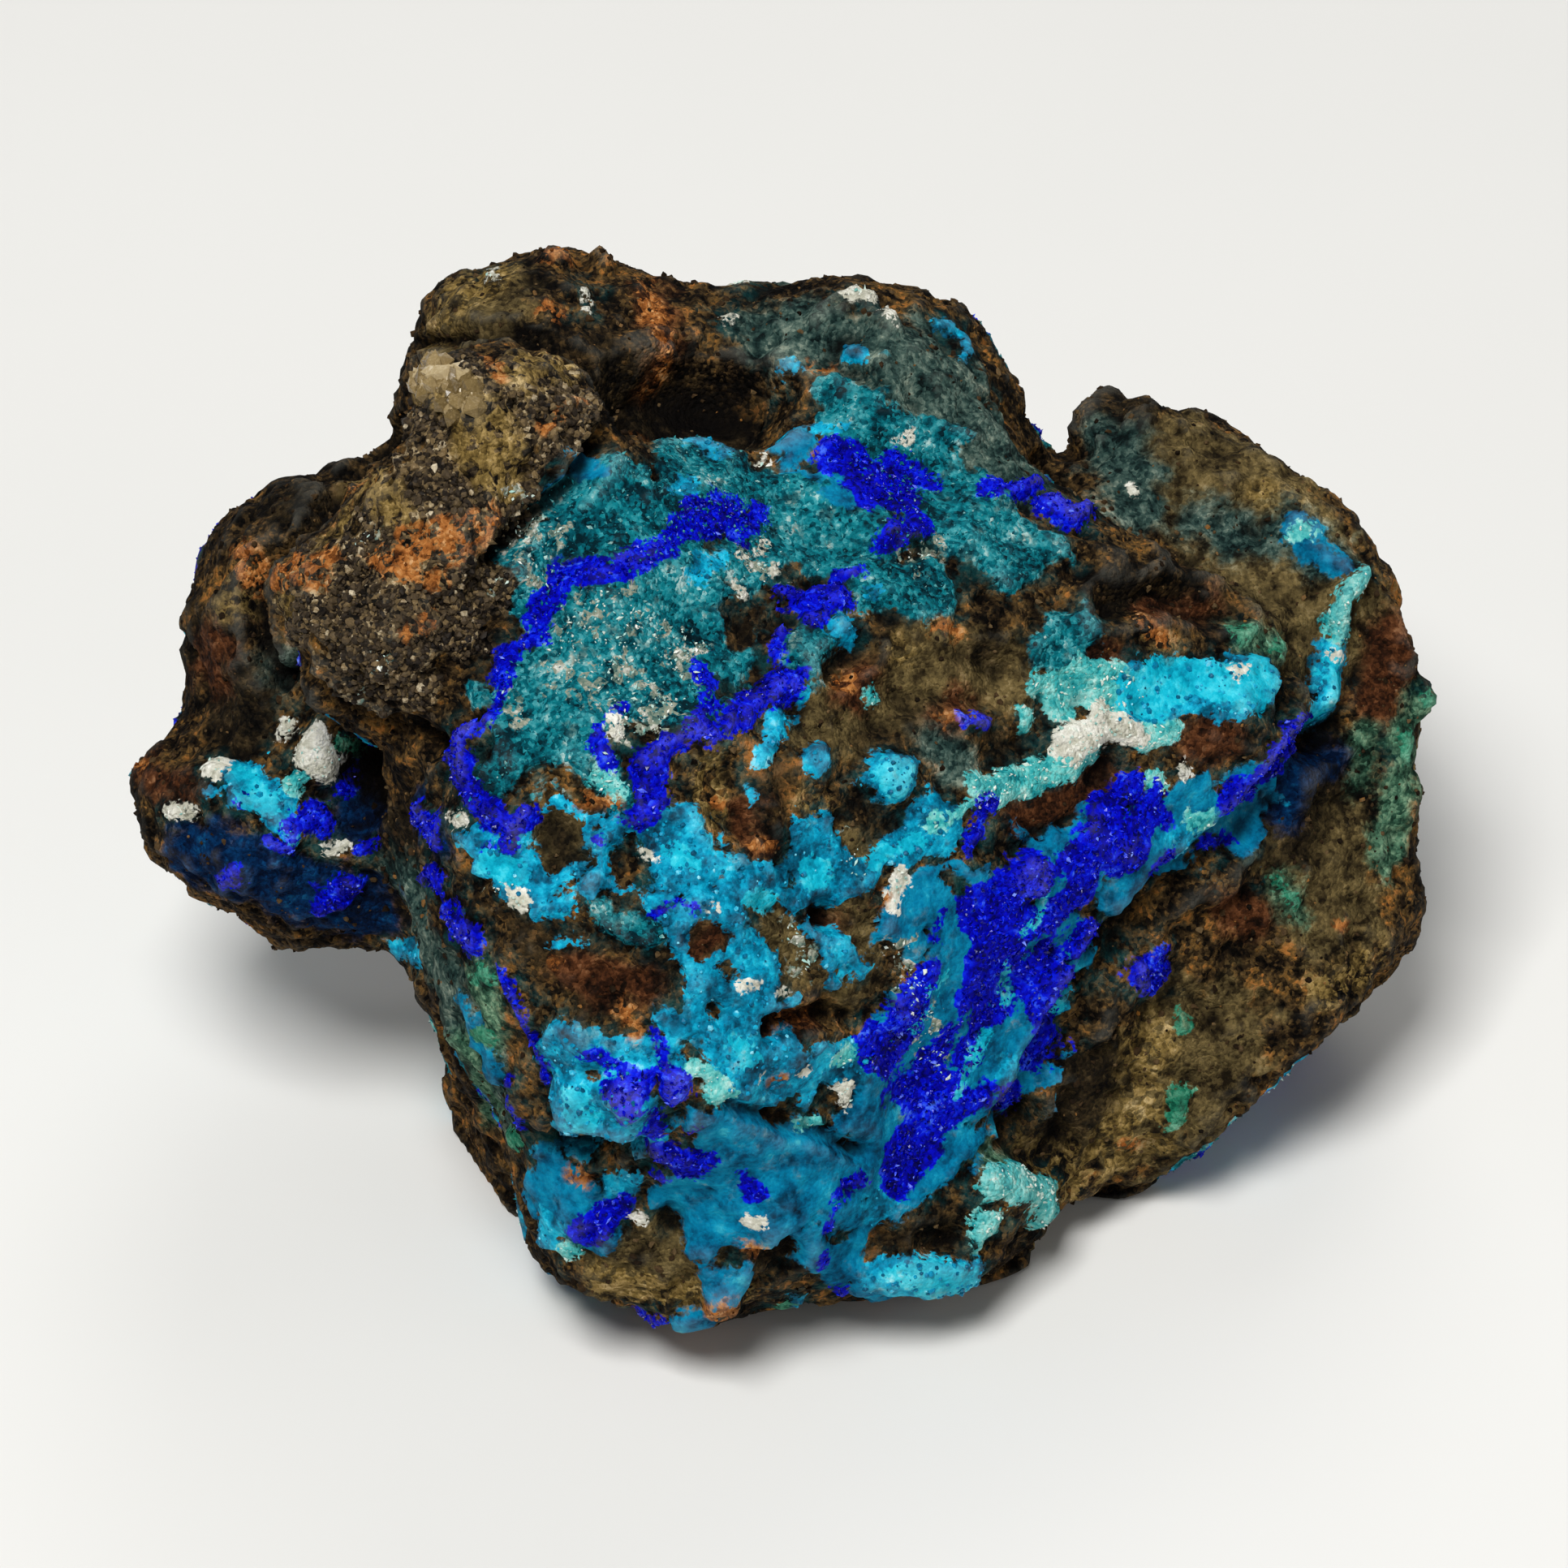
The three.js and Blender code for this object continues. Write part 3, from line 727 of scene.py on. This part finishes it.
print("deposits: laying the patches on the stone")
bendSize, *bend = patchRules["bend"]
fraySize, *frayNoise = patchRules["fray"]
groundFraySize, *groundNoise = patchRules["groundFray"]
wander = np.stack([waves(places, *bend, seed) for seed in patchRules["bendSeeds"]], axis=1)
spots = picture * flatScale + wander * bendSize
fray = fraySize * waves(places, *frayNoise)
fields = {}
for name, deposit in deposits.items():
    field = patchField(deposit["patches"], spots, fray)
    if "ground" in deposit:
        groundFray = groundFraySize * waves(places, *groundNoise, deposit["seed"])
        ground = patchField(deposit["ground"], spots, groundFray - patchRules["groundLoss"])
        field = np.maximum(field, ground)
    fields[name] = np.maximum(field, unseenField(name) - unseenSides["fade"] * seen)
bareField = patchField(bareMatrix["patches"], spots, fray)
for name in bareMatrix["clears"]:
    fields[name] = np.minimum(fields[name], -bareField)
for name in gossan["clears"]:
    fields[name] = np.minimum(fields[name], -fields["gossan"])
crustNames = ("azurite", "chrysocolla", "tealCrust", "paleAqua", "whiteSkin", "malachite", "deepTeal")
fields["crust"] = np.maximum.reduce([fields[name] for name in crustNames])
fields["matrix"] = -np.maximum(fields["crust"], fields["gossan"])

print("stone body: working the relief in")
relief = np.zeros(len(places))
plainSpots = picture * flatScale + wander * bendSize * stoneBody["reliefBend"]
for height, halfWidth, *path in stoneBody["relief"]:
    reach = halfWidth * stoneBody["reliefWidth"]
    inside = patchField([(reach, *path)], plainSpots) / (reach * view["pixel"])
    relief += height * smoothStep(0, stoneBody["reliefSlope"], inside)
covers = {name: smoothStep(*stoneBody["crustEdge"], field) for name, field in fields.items()}
covers["skin"] = np.maximum.reduce([
    covers["chrysocolla"], covers["paleAqua"], covers["whiteSkin"],
    stoneBody["deepTealSkin"] * covers["deepTeal"]])
lumpHeight, *lumps = stoneBody["lumps"]
gritHeight, *grit = stoneBody["grit"]
crustGrit, moreGrit = stoneBody["gritShare"]
pitDepth, *pits = stoneBody["pits"]
bareShare = 1 - covers["crust"]
relief += lumpHeight * waves(places, *lumps)
relief += gritHeight * waves(places, *grit) * (crustGrit + moreGrit * bareShare)
relief -= pitDepth * bareShare * smoothStep(*stoneBody["pitEdge"], waves(places, *pits))
relief -= stoneBody["crust"] * bareShare
for name, (lift, height, width, seed) in stoneBody["growth"].items():
    relief += covers[name] * (lift + height * (0.5 - cells(places, width, seed)))
relief *= np.where(resting, 0, 1)
places = places + normals * relief[:, None]
box = [np.array(corner) / mm for corner in cadBox]
places = np.clip(places, box[0] - stoneBody["margin"], box[1] + stoneBody["margin"])
places[:, 2] = np.maximum(places[:, 2], floorLevel)
normals = normalsOf(stoneMesh, places)


def hollowness(rounds):
    # how far each place lies below its smoothed surroundings
    return np.einsum("ij,ij->i", smoothed(places, edgeEnds, rounds) - places, normals)


narrowRounds, wideRounds = stoneBody["hollowRounds"]
fields["hollow"] = hollowness(narrowRounds) + stoneBody["wideShare"] * hollowness(wideRounds)

stone = bpy.data.objects.new("specimen_stone", stoneMesh)
bpy.context.scene.collection.objects.link(stone)
for name, field in fields.items():
    layer = stoneMesh.attributes.new(name, "FLOAT", "POINT")
    layer.data.foreach_set("value", field.astype(np.float32))
stoneMesh.polygons.foreach_set("use_smooth", np.ones(len(stoneMesh.polygons), bool))


def linear(colour):
    # from a screen's 0 to 255
    shares = (part / 255 for part in colour)
    return tuple(c / 12.92 if c <= 0.04045 else ((c + 0.055) / 1.055) ** 2.4 for c in shares) + (1,)


def newMaterial(name):
    material = bpy.data.materials.new(name)
    material.use_nodes = True
    return material, material.node_tree, material.node_tree.nodes["Principled BSDF"]


def addNode(tree, kind, inputs=None, **settings):
    made = tree.nodes.new(kind)
    for name, value in settings.items():
        setattr(made, name, value)
    for key, value in (inputs or {}).items():
        if isinstance(value, bpy.types.NodeSocket):
            tree.links.new(value, made.inputs[key])
        else:
            made.inputs[key].default_value = value
    return made


def sums(tree, operation, first, second, third=0.0):
    return addNode(tree, "ShaderNodeMath", {0: first, 1: second, 2: third}, operation=operation).outputs[0]


def weighed(tree, start, *parts):
    # start plus each (socket, weight), the sockets taken about their middle
    total = start
    for socket, weight in parts:
        total = sums(tree, "MULTIPLY_ADD", sums(tree, "SUBTRACT", socket, 0.5), weight, total)
    return total


def speckle(tree, place, length, detail, roughness=0.55):
    # soft noise of 0 to 1, with spots of the given length in millimetres
    return addNode(tree, "ShaderNodeTexNoise", {
        "Vector": place, "Scale": 1 / (length * mm), "Detail": detail, "Roughness": roughness,
    }).outputs["Fac"]


def grainCells(tree, place, length):
    # distance from each grain's middle, and two numbers of its own from 0 to 1
    made = addNode(tree, "ShaderNodeTexVoronoi", {"Vector": place, "Scale": 1 / (length * mm)})
    apart = addNode(tree, "ShaderNodeSeparateColor", {0: made.outputs["Color"]})
    return made.outputs["Distance"], *apart.outputs[:2]


def stepped(tree, value, low, high, start=0.0, end=1.0):
    return addNode(tree, "ShaderNodeMapRange", {
        "Value": value, "From Min": low, "From Max": high, "To Min": start, "To Max": end},
        interpolation_type="SMOOTHSTEP").outputs["Result"]


def colourRamp(tree, value, colours, spread=None):
    ramp = addNode(tree, "ShaderNodeValToRGB", {"Fac": value})
    stops = spread or [i / (len(colours) - 1) for i in range(len(colours))]
    marks = ramp.color_ramp.elements
    while len(marks) < len(colours):
        marks.new(0.5)
    for mark, stop, colour in zip(marks, stops, colours):
        mark.position = stop
        mark.color = linear(colour)
    return ramp.outputs["Color"]


def mixed(tree, share, first, second):
    made = addNode(
        tree, "ShaderNodeMix", {0: share, 6: first, 7: second}, data_type="RGBA", clamp_factor=True)
    return made.outputs[2]


def movedAside(tree, place):
    # the same place moved aside, so that two noises of one kind don't run together
    moved = addNode(tree, "ShaderNodeVectorMath", {0: place, 1: stoneFinish["aside"]}, operation="ADD")
    return moved.outputs[0]


def roughen(tree, surface, strength, distance, height):
    # fine bumps, their distance in millimetres
    bump = addNode(tree, "ShaderNodeBump", {
        "Strength": strength, "Distance": distance * mm, "Height": height})
    tree.links.new(bump.outputs[0], surface.inputs["Normal"])


limonite = {
    "colours": [(2, 1, 0), (18, 12, 6), (45, 33, 17), (78, 60, 34), (112, 80, 38), (158, 102, 48)],
    "tone": (0.37, 1.5, 1.8, 1.5, 0.5),
}
stoneFinish = {
    # spots: length in millimetres, detail and roughness
    "broad": (3.4, 3.0, 0.55),
    "middling": (1.3, 4.0, 0.6),
    "fine": (0.6, 5.0, 0.64),
    "finer": (0.17, 3.0, 0.6),
    "stains": (1.0, 5.0, 0.62),
    "aside": (0.31, 0.17, 0.23),  # how far the stains' noise is moved aside, in metres
    "grain": 0.19,  # width of the single grains
    "bead": 0.45,
    "ragged": 0.64,  # how far the fine edge of a patch wanders, in millimetres
    "grainEdge": 0.26,  # how far single grains stray over an edge
    "edge": 0.06,  # half the width of a crust's edge; a film's is its own "soft"
    "sparseMix": (0.8, 1.2),  # how far finer and fine spots decide what a sparse film leaves bare
    "sparseEdge": 0.06,
    "bump": (0.9, 0.22),  # strength, and height in millimetres
    "bumpMix": (-0.5, 0.6, 1.2, -0.3),  # grains, finer and fine spots, beads
    "skinCalm": 0.5,  # how much of the strength the chrysocolla's smooth skin takes off
    "shine": 0.06,
    "matrixRough": 0.85,
    "crustRough": 0.55,
    "azuriteRough": 0.42,
    "roughSpots": 0.3,
    "leastRough": 0.25,
    "stain": (0.52, 0.68, 0.62),  # the noise at which a rust stain begins and is full, and how brown it is
    # the blue-green wash of the matrix beside a crust
    "wash": 0.5,
    "washReach": (-1.3, 0.1),  # millimetres inside the crust's edge where it begins and is full
    "washSpots": (0.42, 0.62),
    "washColours": ([(4, 40, 44), (18, 84, 86), (80, 120, 108)], [0.3, 0.5, 0.7]),
    # hollows are darkened with painted shade and dark dust, and the crests are rubbed pale: the colour, the
    # depths in millimetres at which it begins and is full, and its share there
    "dustAndShade": ((6, 4, 3), 0.04, 0.7, 0.88),
    "crest": ((225, 222, 205), -0.15, -0.7, 0.06),
}


def stoneMaterial():
    material, tree, surface = newMaterial("copper_ore_crusts")
    place = addNode(tree, "ShaderNodeTexCoord").outputs["Object"]
    broad, middling, fine, finer = (
        speckle(tree, place, *stoneFinish[name]) for name in ("broad", "middling", "fine", "finer"))
    stains = speckle(tree, movedAside(tree, place), *stoneFinish["stains"])
    grainGap, grainRed, grainGreen = grainCells(tree, place, stoneFinish["grain"])
    beadGap, _, beadGreen = grainCells(tree, place, stoneFinish["bead"])

    def level(name):
        return addNode(tree, "ShaderNodeAttribute", attribute_name=name).outputs["Fac"]

    def toned(deposit):
        middle, *moves = deposit["tone"]
        parts = [(spot, move) for spot, move in zip((broad, middling, fine, grainGreen), moves) if move]
        return colourRamp(tree, weighed(tree, middle, *parts), deposit["colours"])

    def cover(name, deposit):
        # how much of the stone a deposit hides, from 0 to 1
        soft = deposit.get("soft", stoneFinish["edge"])
        wavered = weighed(
            tree, level(name), (fine, stoneFinish["ragged"]), (grainRed, stoneFinish["grainEdge"]))
        share = stepped(tree, wavered, -soft, soft)
        if "sparse" in deposit:
            sparse, width = deposit["sparse"], stoneFinish["sparseEdge"]
            grainy = weighed(tree, beadGreen, *zip((finer, fine), stoneFinish["sparseMix"]))
            share = sums(tree, "MULTIPLY", share, stepped(tree, grainy, sparse - width, sparse + width))
        return share

    matrixColour = toned(limonite)
    washShare = sums(
        tree, "MULTIPLY", stepped(tree, level("crust"), *stoneFinish["washReach"]),
        stepped(tree, stains, *stoneFinish["washSpots"]))
    washTone = colourRamp(tree, fine, *stoneFinish["washColours"])
    colour = mixed(tree, sums(tree, "MULTIPLY", washShare, stoneFinish["wash"]), matrixColour, washTone)
    stainStart, stainEnd, stainDepth = stoneFinish["stain"]
    stainShare = stepped(tree, stains, stainStart, stainEnd, 0.0, stainDepth)
    shares = {}
    for name, deposit in deposits.items():
        shares[name] = cover(name, deposit)
        crustColour = toned(deposit)
        if "stained" in deposit:
            stained = sums(tree, "MULTIPLY", stainShare, deposit["stained"])
            crustColour = mixed(tree, stained, crustColour, matrixColour)
        colour = mixed(tree, shares[name], colour, crustColour)
    hollow = level("hollow")
    # painted shade and dark dust darken the hollows towards near-black, and the crests are rubbed pale
    for name in ("dustAndShade", "crest"):
        tint, start, end, most = stoneFinish[name]
        colour = mixed(tree, stepped(tree, hollow, start, end, 0.0, most), colour, linear(tint))
    tree.links.new(colour, surface.inputs["Base Color"])
    matrixRough, crustRough = stoneFinish["matrixRough"], stoneFinish["crustRough"]
    rough = stepped(tree, shares["chrysocolla"], 0, 1, matrixRough, crustRough)
    rough = sums(tree, "MULTIPLY_ADD", shares["azurite"], stoneFinish["azuriteRough"] - crustRough, rough)
    rough = weighed(tree, rough, (finer, stoneFinish["roughSpots"]))
    tree.links.new(sums(tree, "MAXIMUM", rough, stoneFinish["leastRough"]), surface.inputs["Roughness"])
    height = weighed(tree, 0.5, *zip((grainGap, finer, fine, beadGap), stoneFinish["bumpMix"]))
    strength, distance = stoneFinish["bump"]
    skin = sums(tree, "MAXIMUM", shares["chrysocolla"], shares["deepTeal"])
    strength = sums(tree, "MULTIPLY_ADD", skin, -stoneFinish["skinCalm"], strength)
    roughen(tree, surface, strength, distance, height)
    surface.inputs["Specular IOR Level"].default_value = stoneFinish["shine"]
    return material


stoneMesh.materials.clear()
stoneMesh.materials.append(stoneMaterial())
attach(stone, "root")
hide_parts("specimen")
print("stone body: done")

# Loose-looking grains that stand on the crusts and on the matrix
golden = (1 + math.sqrt(5)) / 2
crumbForm = (
    np.array([
        (-1, golden, 0), (1, golden, 0), (-1, -golden, 0), (1, -golden, 0),
        (0, -1, golden), (0, 1, golden), (0, -1, -golden), (0, 1, -golden),
        (golden, 0, -1), (golden, 0, 1), (-golden, 0, -1), (-golden, 0, 1),
    ]) / math.hypot(1, golden),
    np.array([
        (0, 11, 5), (0, 5, 1), (0, 1, 7), (0, 7, 10), (0, 10, 11), (1, 5, 9), (5, 11, 4),
        (11, 10, 2), (10, 7, 6), (7, 1, 8), (3, 9, 4), (3, 4, 2), (3, 2, 6), (3, 6, 8),
        (3, 8, 9), (4, 9, 5), (2, 4, 11), (6, 2, 10), (8, 6, 7), (9, 8, 1),
    ]))
crystalForm = (
    np.array([(0.7, 0, 0), (0, 0.55, 0), (-0.7, 0, 0), (0, -0.55, 0), (0, 0, 1.25), (0, 0, -1.25)]),
    np.array([(0, 1, 4), (1, 2, 4), (2, 3, 4), (3, 0, 4), (1, 0, 5), (2, 1, 5), (3, 2, 5), (0, 3, 5)]))
# on: the deposit that carries them, least: millimetres inside its edge, size: across in millimetres,
# jitter: how uneven they are, sink: how deep they sit, rough and shine: their surface
grainKinds = {
    "azurite_druse": {
        "on": "azurite", "least": 0.0, "count": 9000, "size": (0.12, 0.32),
        "form": crystalForm, "jitter": 0.1, "sink": 0.25, "rough": 0.2, "shine": 0.22,
        "colours": [(0, 0, 74), (0, 0, 134), (0, 6, 192), (8, 40, 226), (130, 156, 242)],
    },
    "chrysocolla_beads": {
        "on": "chrysocolla", "least": 0.0, "count": 2200, "size": (0.10, 0.34),
        "form": crumbForm, "jitter": 0.12, "sink": 0.62, "rough": 0.4, "shine": 0.16,
        "colours": [(0, 66, 92), (0, 100, 134), (0, 130, 168), (24, 170, 204), (150, 222, 234)],
    },
    "teal_crust_grains": {
        "on": "tealCrust", "least": 0.0, "count": 7000, "size": (0.09, 0.26),
        "form": crystalForm, "jitter": 0.18, "sink": 0.3, "rough": 0.5, "shine": 0.16,
        "colours": [(0, 48, 58), (2, 88, 100), (16, 120, 128), (78, 150, 150), (196, 210, 200)],
    },
    "knob_sand": {
        "on": "knobSand", "least": 0.0, "count": 3000, "size": (0.12, 0.42),
        "form": crumbForm, "jitter": 0.24, "sink": 0.45, "rough": 0.6, "shine": 0.12,
        "colours": [(12, 9, 7), (42, 34, 25), (76, 63, 45), (116, 96, 64), (196, 182, 154)],
    },
    "rust_crumbs": {
        "on": "rust", "least": 0.05, "count": 800, "size": (0.08, 0.26),
        "form": crumbForm, "jitter": 0.24, "sink": 0.5, "rough": 0.8, "shine": 0.06,
        "colours": [(64, 33, 12), (114, 63, 25), (154, 91, 40), (182, 120, 63), (206, 160, 108)],
    },
    "limonite_crumbs": {
        "on": "matrix", "least": 0.1, "count": 4200, "size": (0.10, 0.36),
        "form": crumbForm, "jitter": 0.26, "sink": 0.6, "rough": 0.8, "shine": 0.06,
        "colours": [(10, 7, 4), (34, 24, 14), (62, 46, 28), (96, 78, 52), (140, 92, 40)],
    },
    "pale_sugar": {
        "on": "paleGrowth", "least": 0.0, "count": 3000, "size": (0.1, 0.28),
        "form": crystalForm, "jitter": 0.18, "sink": 0.3, "rough": 0.4, "shine": 0.2,
        "colours": [(120, 176, 168), (170, 206, 196), (206, 216, 204), (232, 232, 220), (246, 244, 236)],
    },
    "quartz_chips": {
        "on": "quartz", "least": 0.0, "count": 170, "size": (0.3, 1.1),
        "form": crumbForm, "jitter": 0.2, "sink": 0.6, "rough": 0.25, "shine": 0.35,
        "colours": [(84, 68, 38), (118, 99, 62), (146, 126, 88), (172, 154, 118), (204, 192, 166)],
    },
}
quartzPatch = [(30, (540, 465), (572, 488))]
grainRules = {
    "inset": 0.1,  # how far inside the knob and the frost their grains keep
    "edge": 0.12,  # how softly they thin out, in millimetres
    "clearance": 0.8,  # none stand lower than this above the floor
    "crowding": 2.2,  # the higher, the more of them are small
    "stretch": (0.75, 1.25),
    "tints": (1.7, 2.6),  # how the tints spread over the colours: more dark ones than pale
    "cloud": (0.12, 3.0),  # clouds within a grain: length and detail
    "cloudTone": 0.5,
    "cloudRough": 0.3,
    "bump": (0.5, 0.03),  # strength, and height in millimetres
}
inset = grainRules["inset"]
fields["paleGrowth"] = np.maximum.reduce([fields["whiteSkin"], fields["paleAqua"], fields["frost"] - inset])
fields["knobSand"] = np.minimum(fields["gossan"] - inset, -np.maximum(fields["ochre"], fields["rust"]))
fields["quartz"] = np.minimum(patchField(quartzPatch, spots, fray), fields["gossan"])
corners = np.array([face if len(face) == 4 else (*face, face[-1]) for face in faceCorners])
cornerPlaces = places[corners]
faceArea = np.linalg.norm(np.cross(
    cornerPlaces[:, 2] - cornerPlaces[:, 0], cornerPlaces[:, 3] - cornerPlaces[:, 1]), axis=1) / 2


def randomTurns(count):
    # rotation matrices, even over all directions
    four = dice.normal(size=(4, count))
    w, x, y, z = four / np.linalg.norm(four, axis=0)
    return np.array([
        [1 - 2 * (y * y + z * z), 2 * (x * y - z * w), 2 * (x * z + y * w)],
        [2 * (x * y + z * w), 1 - 2 * (x * x + z * z), 2 * (y * z - x * w)],
        [2 * (x * z - y * w), 2 * (y * z + x * w), 1 - 2 * (x * x + y * y)],
    ]).transpose(2, 0, 1)


def grainMaterial(name, kind):
    material, tree, surface = newMaterial(name)
    place = addNode(tree, "ShaderNodeTexCoord").outputs["Object"]
    tint = addNode(tree, "ShaderNodeAttribute", attribute_name="tint").outputs["Fac"]
    cloud = speckle(tree, place, *grainRules["cloud"])
    colour = colourRamp(tree, weighed(tree, tint, (cloud, grainRules["cloudTone"])), kind["colours"])
    tree.links.new(colour, surface.inputs["Base Color"])
    rough = weighed(tree, kind["rough"], (cloud, grainRules["cloudRough"]))
    tree.links.new(rough, surface.inputs["Roughness"])
    roughen(tree, surface, *grainRules["bump"], cloud)
    surface.inputs["Specular IOR Level"].default_value = kind["shine"]
    return material


def addGrains(name, kind):
    inside = fields[kind["on"]][corners].min(axis=1)
    least, edge = kind["least"], grainRules["edge"]
    weight = faceArea * smoothStep(least - edge, least + edge, inside)
    weight *= cornerPlaces[:, :, 2].min(axis=1) > floorLevel + grainRules["clearance"]
    count = kind["count"]
    chosen = dice.choice(len(weight), count, p=weight / weight.sum())
    s, t = dice.random((2, count, 1))
    a, b, c, d = (cornerPlaces[chosen, i] for i in range(4))
    middle = (1 - s) * ((1 - t) * a + t * d) + s * ((1 - t) * b + t * c)
    small, large = kind["size"]
    widths = small + (large - small) * dice.random(count) ** grainRules["crowding"]
    form, sides = kind["form"]
    shape = form[None] * (1 + kind["jitter"] * dice.normal(size=(count, len(form), 1)))
    shape = shape * (widths / 2)[:, None, None] * dice.uniform(*grainRules["stretch"], (count, 1, 3))
    shape = np.einsum("nij,nkj->nki", randomTurns(count), shape)
    lift = normals[corners[chosen, 0]] * (widths * (0.5 - kind["sink"]) * 0.5)[:, None]
    shape += (middle + lift)[:, None]
    shape[:, :, 2] = np.maximum(shape[:, :, 2], floorLevel)
    mesh = bpy.data.meshes.new(name)
    triangles = sides[None] + (np.arange(count) * len(form))[:, None, None]
    mesh.from_pydata((shape.reshape(-1, 3) * mm).tolist(), [], triangles.reshape(-1, 3).tolist())
    tint = np.repeat(np.clip(dice.beta(*grainRules["tints"], count), 0, 1), len(form))
    mesh.attributes.new("tint", "FLOAT", "POINT").data.foreach_set("value", tint.astype(np.float32))
    mesh.materials.append(grainMaterial(name, kind))
    grains = bpy.data.objects.new(name, mesh)
    bpy.context.scene.collection.objects.link(grains)
    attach(grains, "root")
    print("  %s: %d grains, %d triangles" % (name, count, len(mesh.polygons)))


print("grains: scattering")
for name, kind in grainKinds.items():
    addGrains(name, kind)

# Light and floor
studio = {
    "floor": ((226, 225, 221), 0.9),  # colour and size in metres
    "key": ((-0.10, -0.22, 0.50), 0.2, 3.2),  # place and size in metres, power in watts
    "fill": ((0.42, -0.30, 0.26), 0.4, 0.4),
    "back": ((0.1, 0.5, 0.42), 0.4, 1.3),
    "sky": 0.12,
    "paperRough": 0.9,
    "paperSpots": (30, 4.0),  # length in millimetres, and detail
    "paperDip": 3,  # how much darker the spots are, of 255
}


def addLight(name, at, size, power):
    lamp = bpy.data.lights.new(name, "AREA")
    lamp.size = size
    lamp.energy = power
    holder = bpy.data.objects.new(name, lamp)
    holder.location = at
    toStone = Vector(aim * mm) - Vector(at)
    holder.rotation_euler = toStone.to_track_quat("-Z", "Y").to_euler()
    bpy.context.scene.collection.objects.link(holder)


for name in ("key", "fill", "back"):
    addLight(name, *studio[name])
sky = bpy.data.worlds.new("studio")
bpy.context.scene.world = sky
sky.use_nodes = True
sky.node_tree.nodes["Background"].inputs[0].default_value = (1, 1, 1, 1)
sky.node_tree.nodes["Background"].inputs[1].default_value = studio["sky"]

floorColour, floorSize = studio["floor"]
half = floorSize / 2
floorMesh = bpy.data.meshes.new("floor")
floorCorners = [(-half, -half, 0), (half, -half, 0), (half, half, 0), (-half, half, 0)]
floorMesh.from_pydata(floorCorners, [], [(0, 1, 2, 3)])
floor = bpy.data.objects.new("floor", floorMesh)
bpy.context.scene.collection.objects.link(floor)
paper, paperTree, paperSkin = newMaterial("pale_paper")
paperSkin.inputs["Roughness"].default_value = studio["paperRough"]
paperPlace = addNode(paperTree, "ShaderNodeTexCoord").outputs["Object"]
paperTone = colourRamp(paperTree, speckle(paperTree, paperPlace, *studio["paperSpots"]), [
    tuple(part - studio["paperDip"] for part in floorColour), floorColour])
paperTree.links.new(paperTone, paperSkin.inputs["Base Color"])
floorMesh.materials.append(paper)

lens = bpy.data.cameras.new("camera")
lens.sensor_width = view["sensor"]
lens.lens = view["sensor"] * view["distance"] / (view["side"] * view["pixel"])
lens.clip_start = 0.01
camera = bpy.data.objects.new("camera", lens)
camera.matrix_world = Matrix([(*axes, at * mm) for *axes, at in zip(across, up, out, eye)] + [(0, 0, 0, 1)])
bpy.context.scene.collection.objects.link(camera)
bpy.context.scene.camera = camera
bpy.context.scene.view_settings.view_transform = "Standard"
print("studio: done")
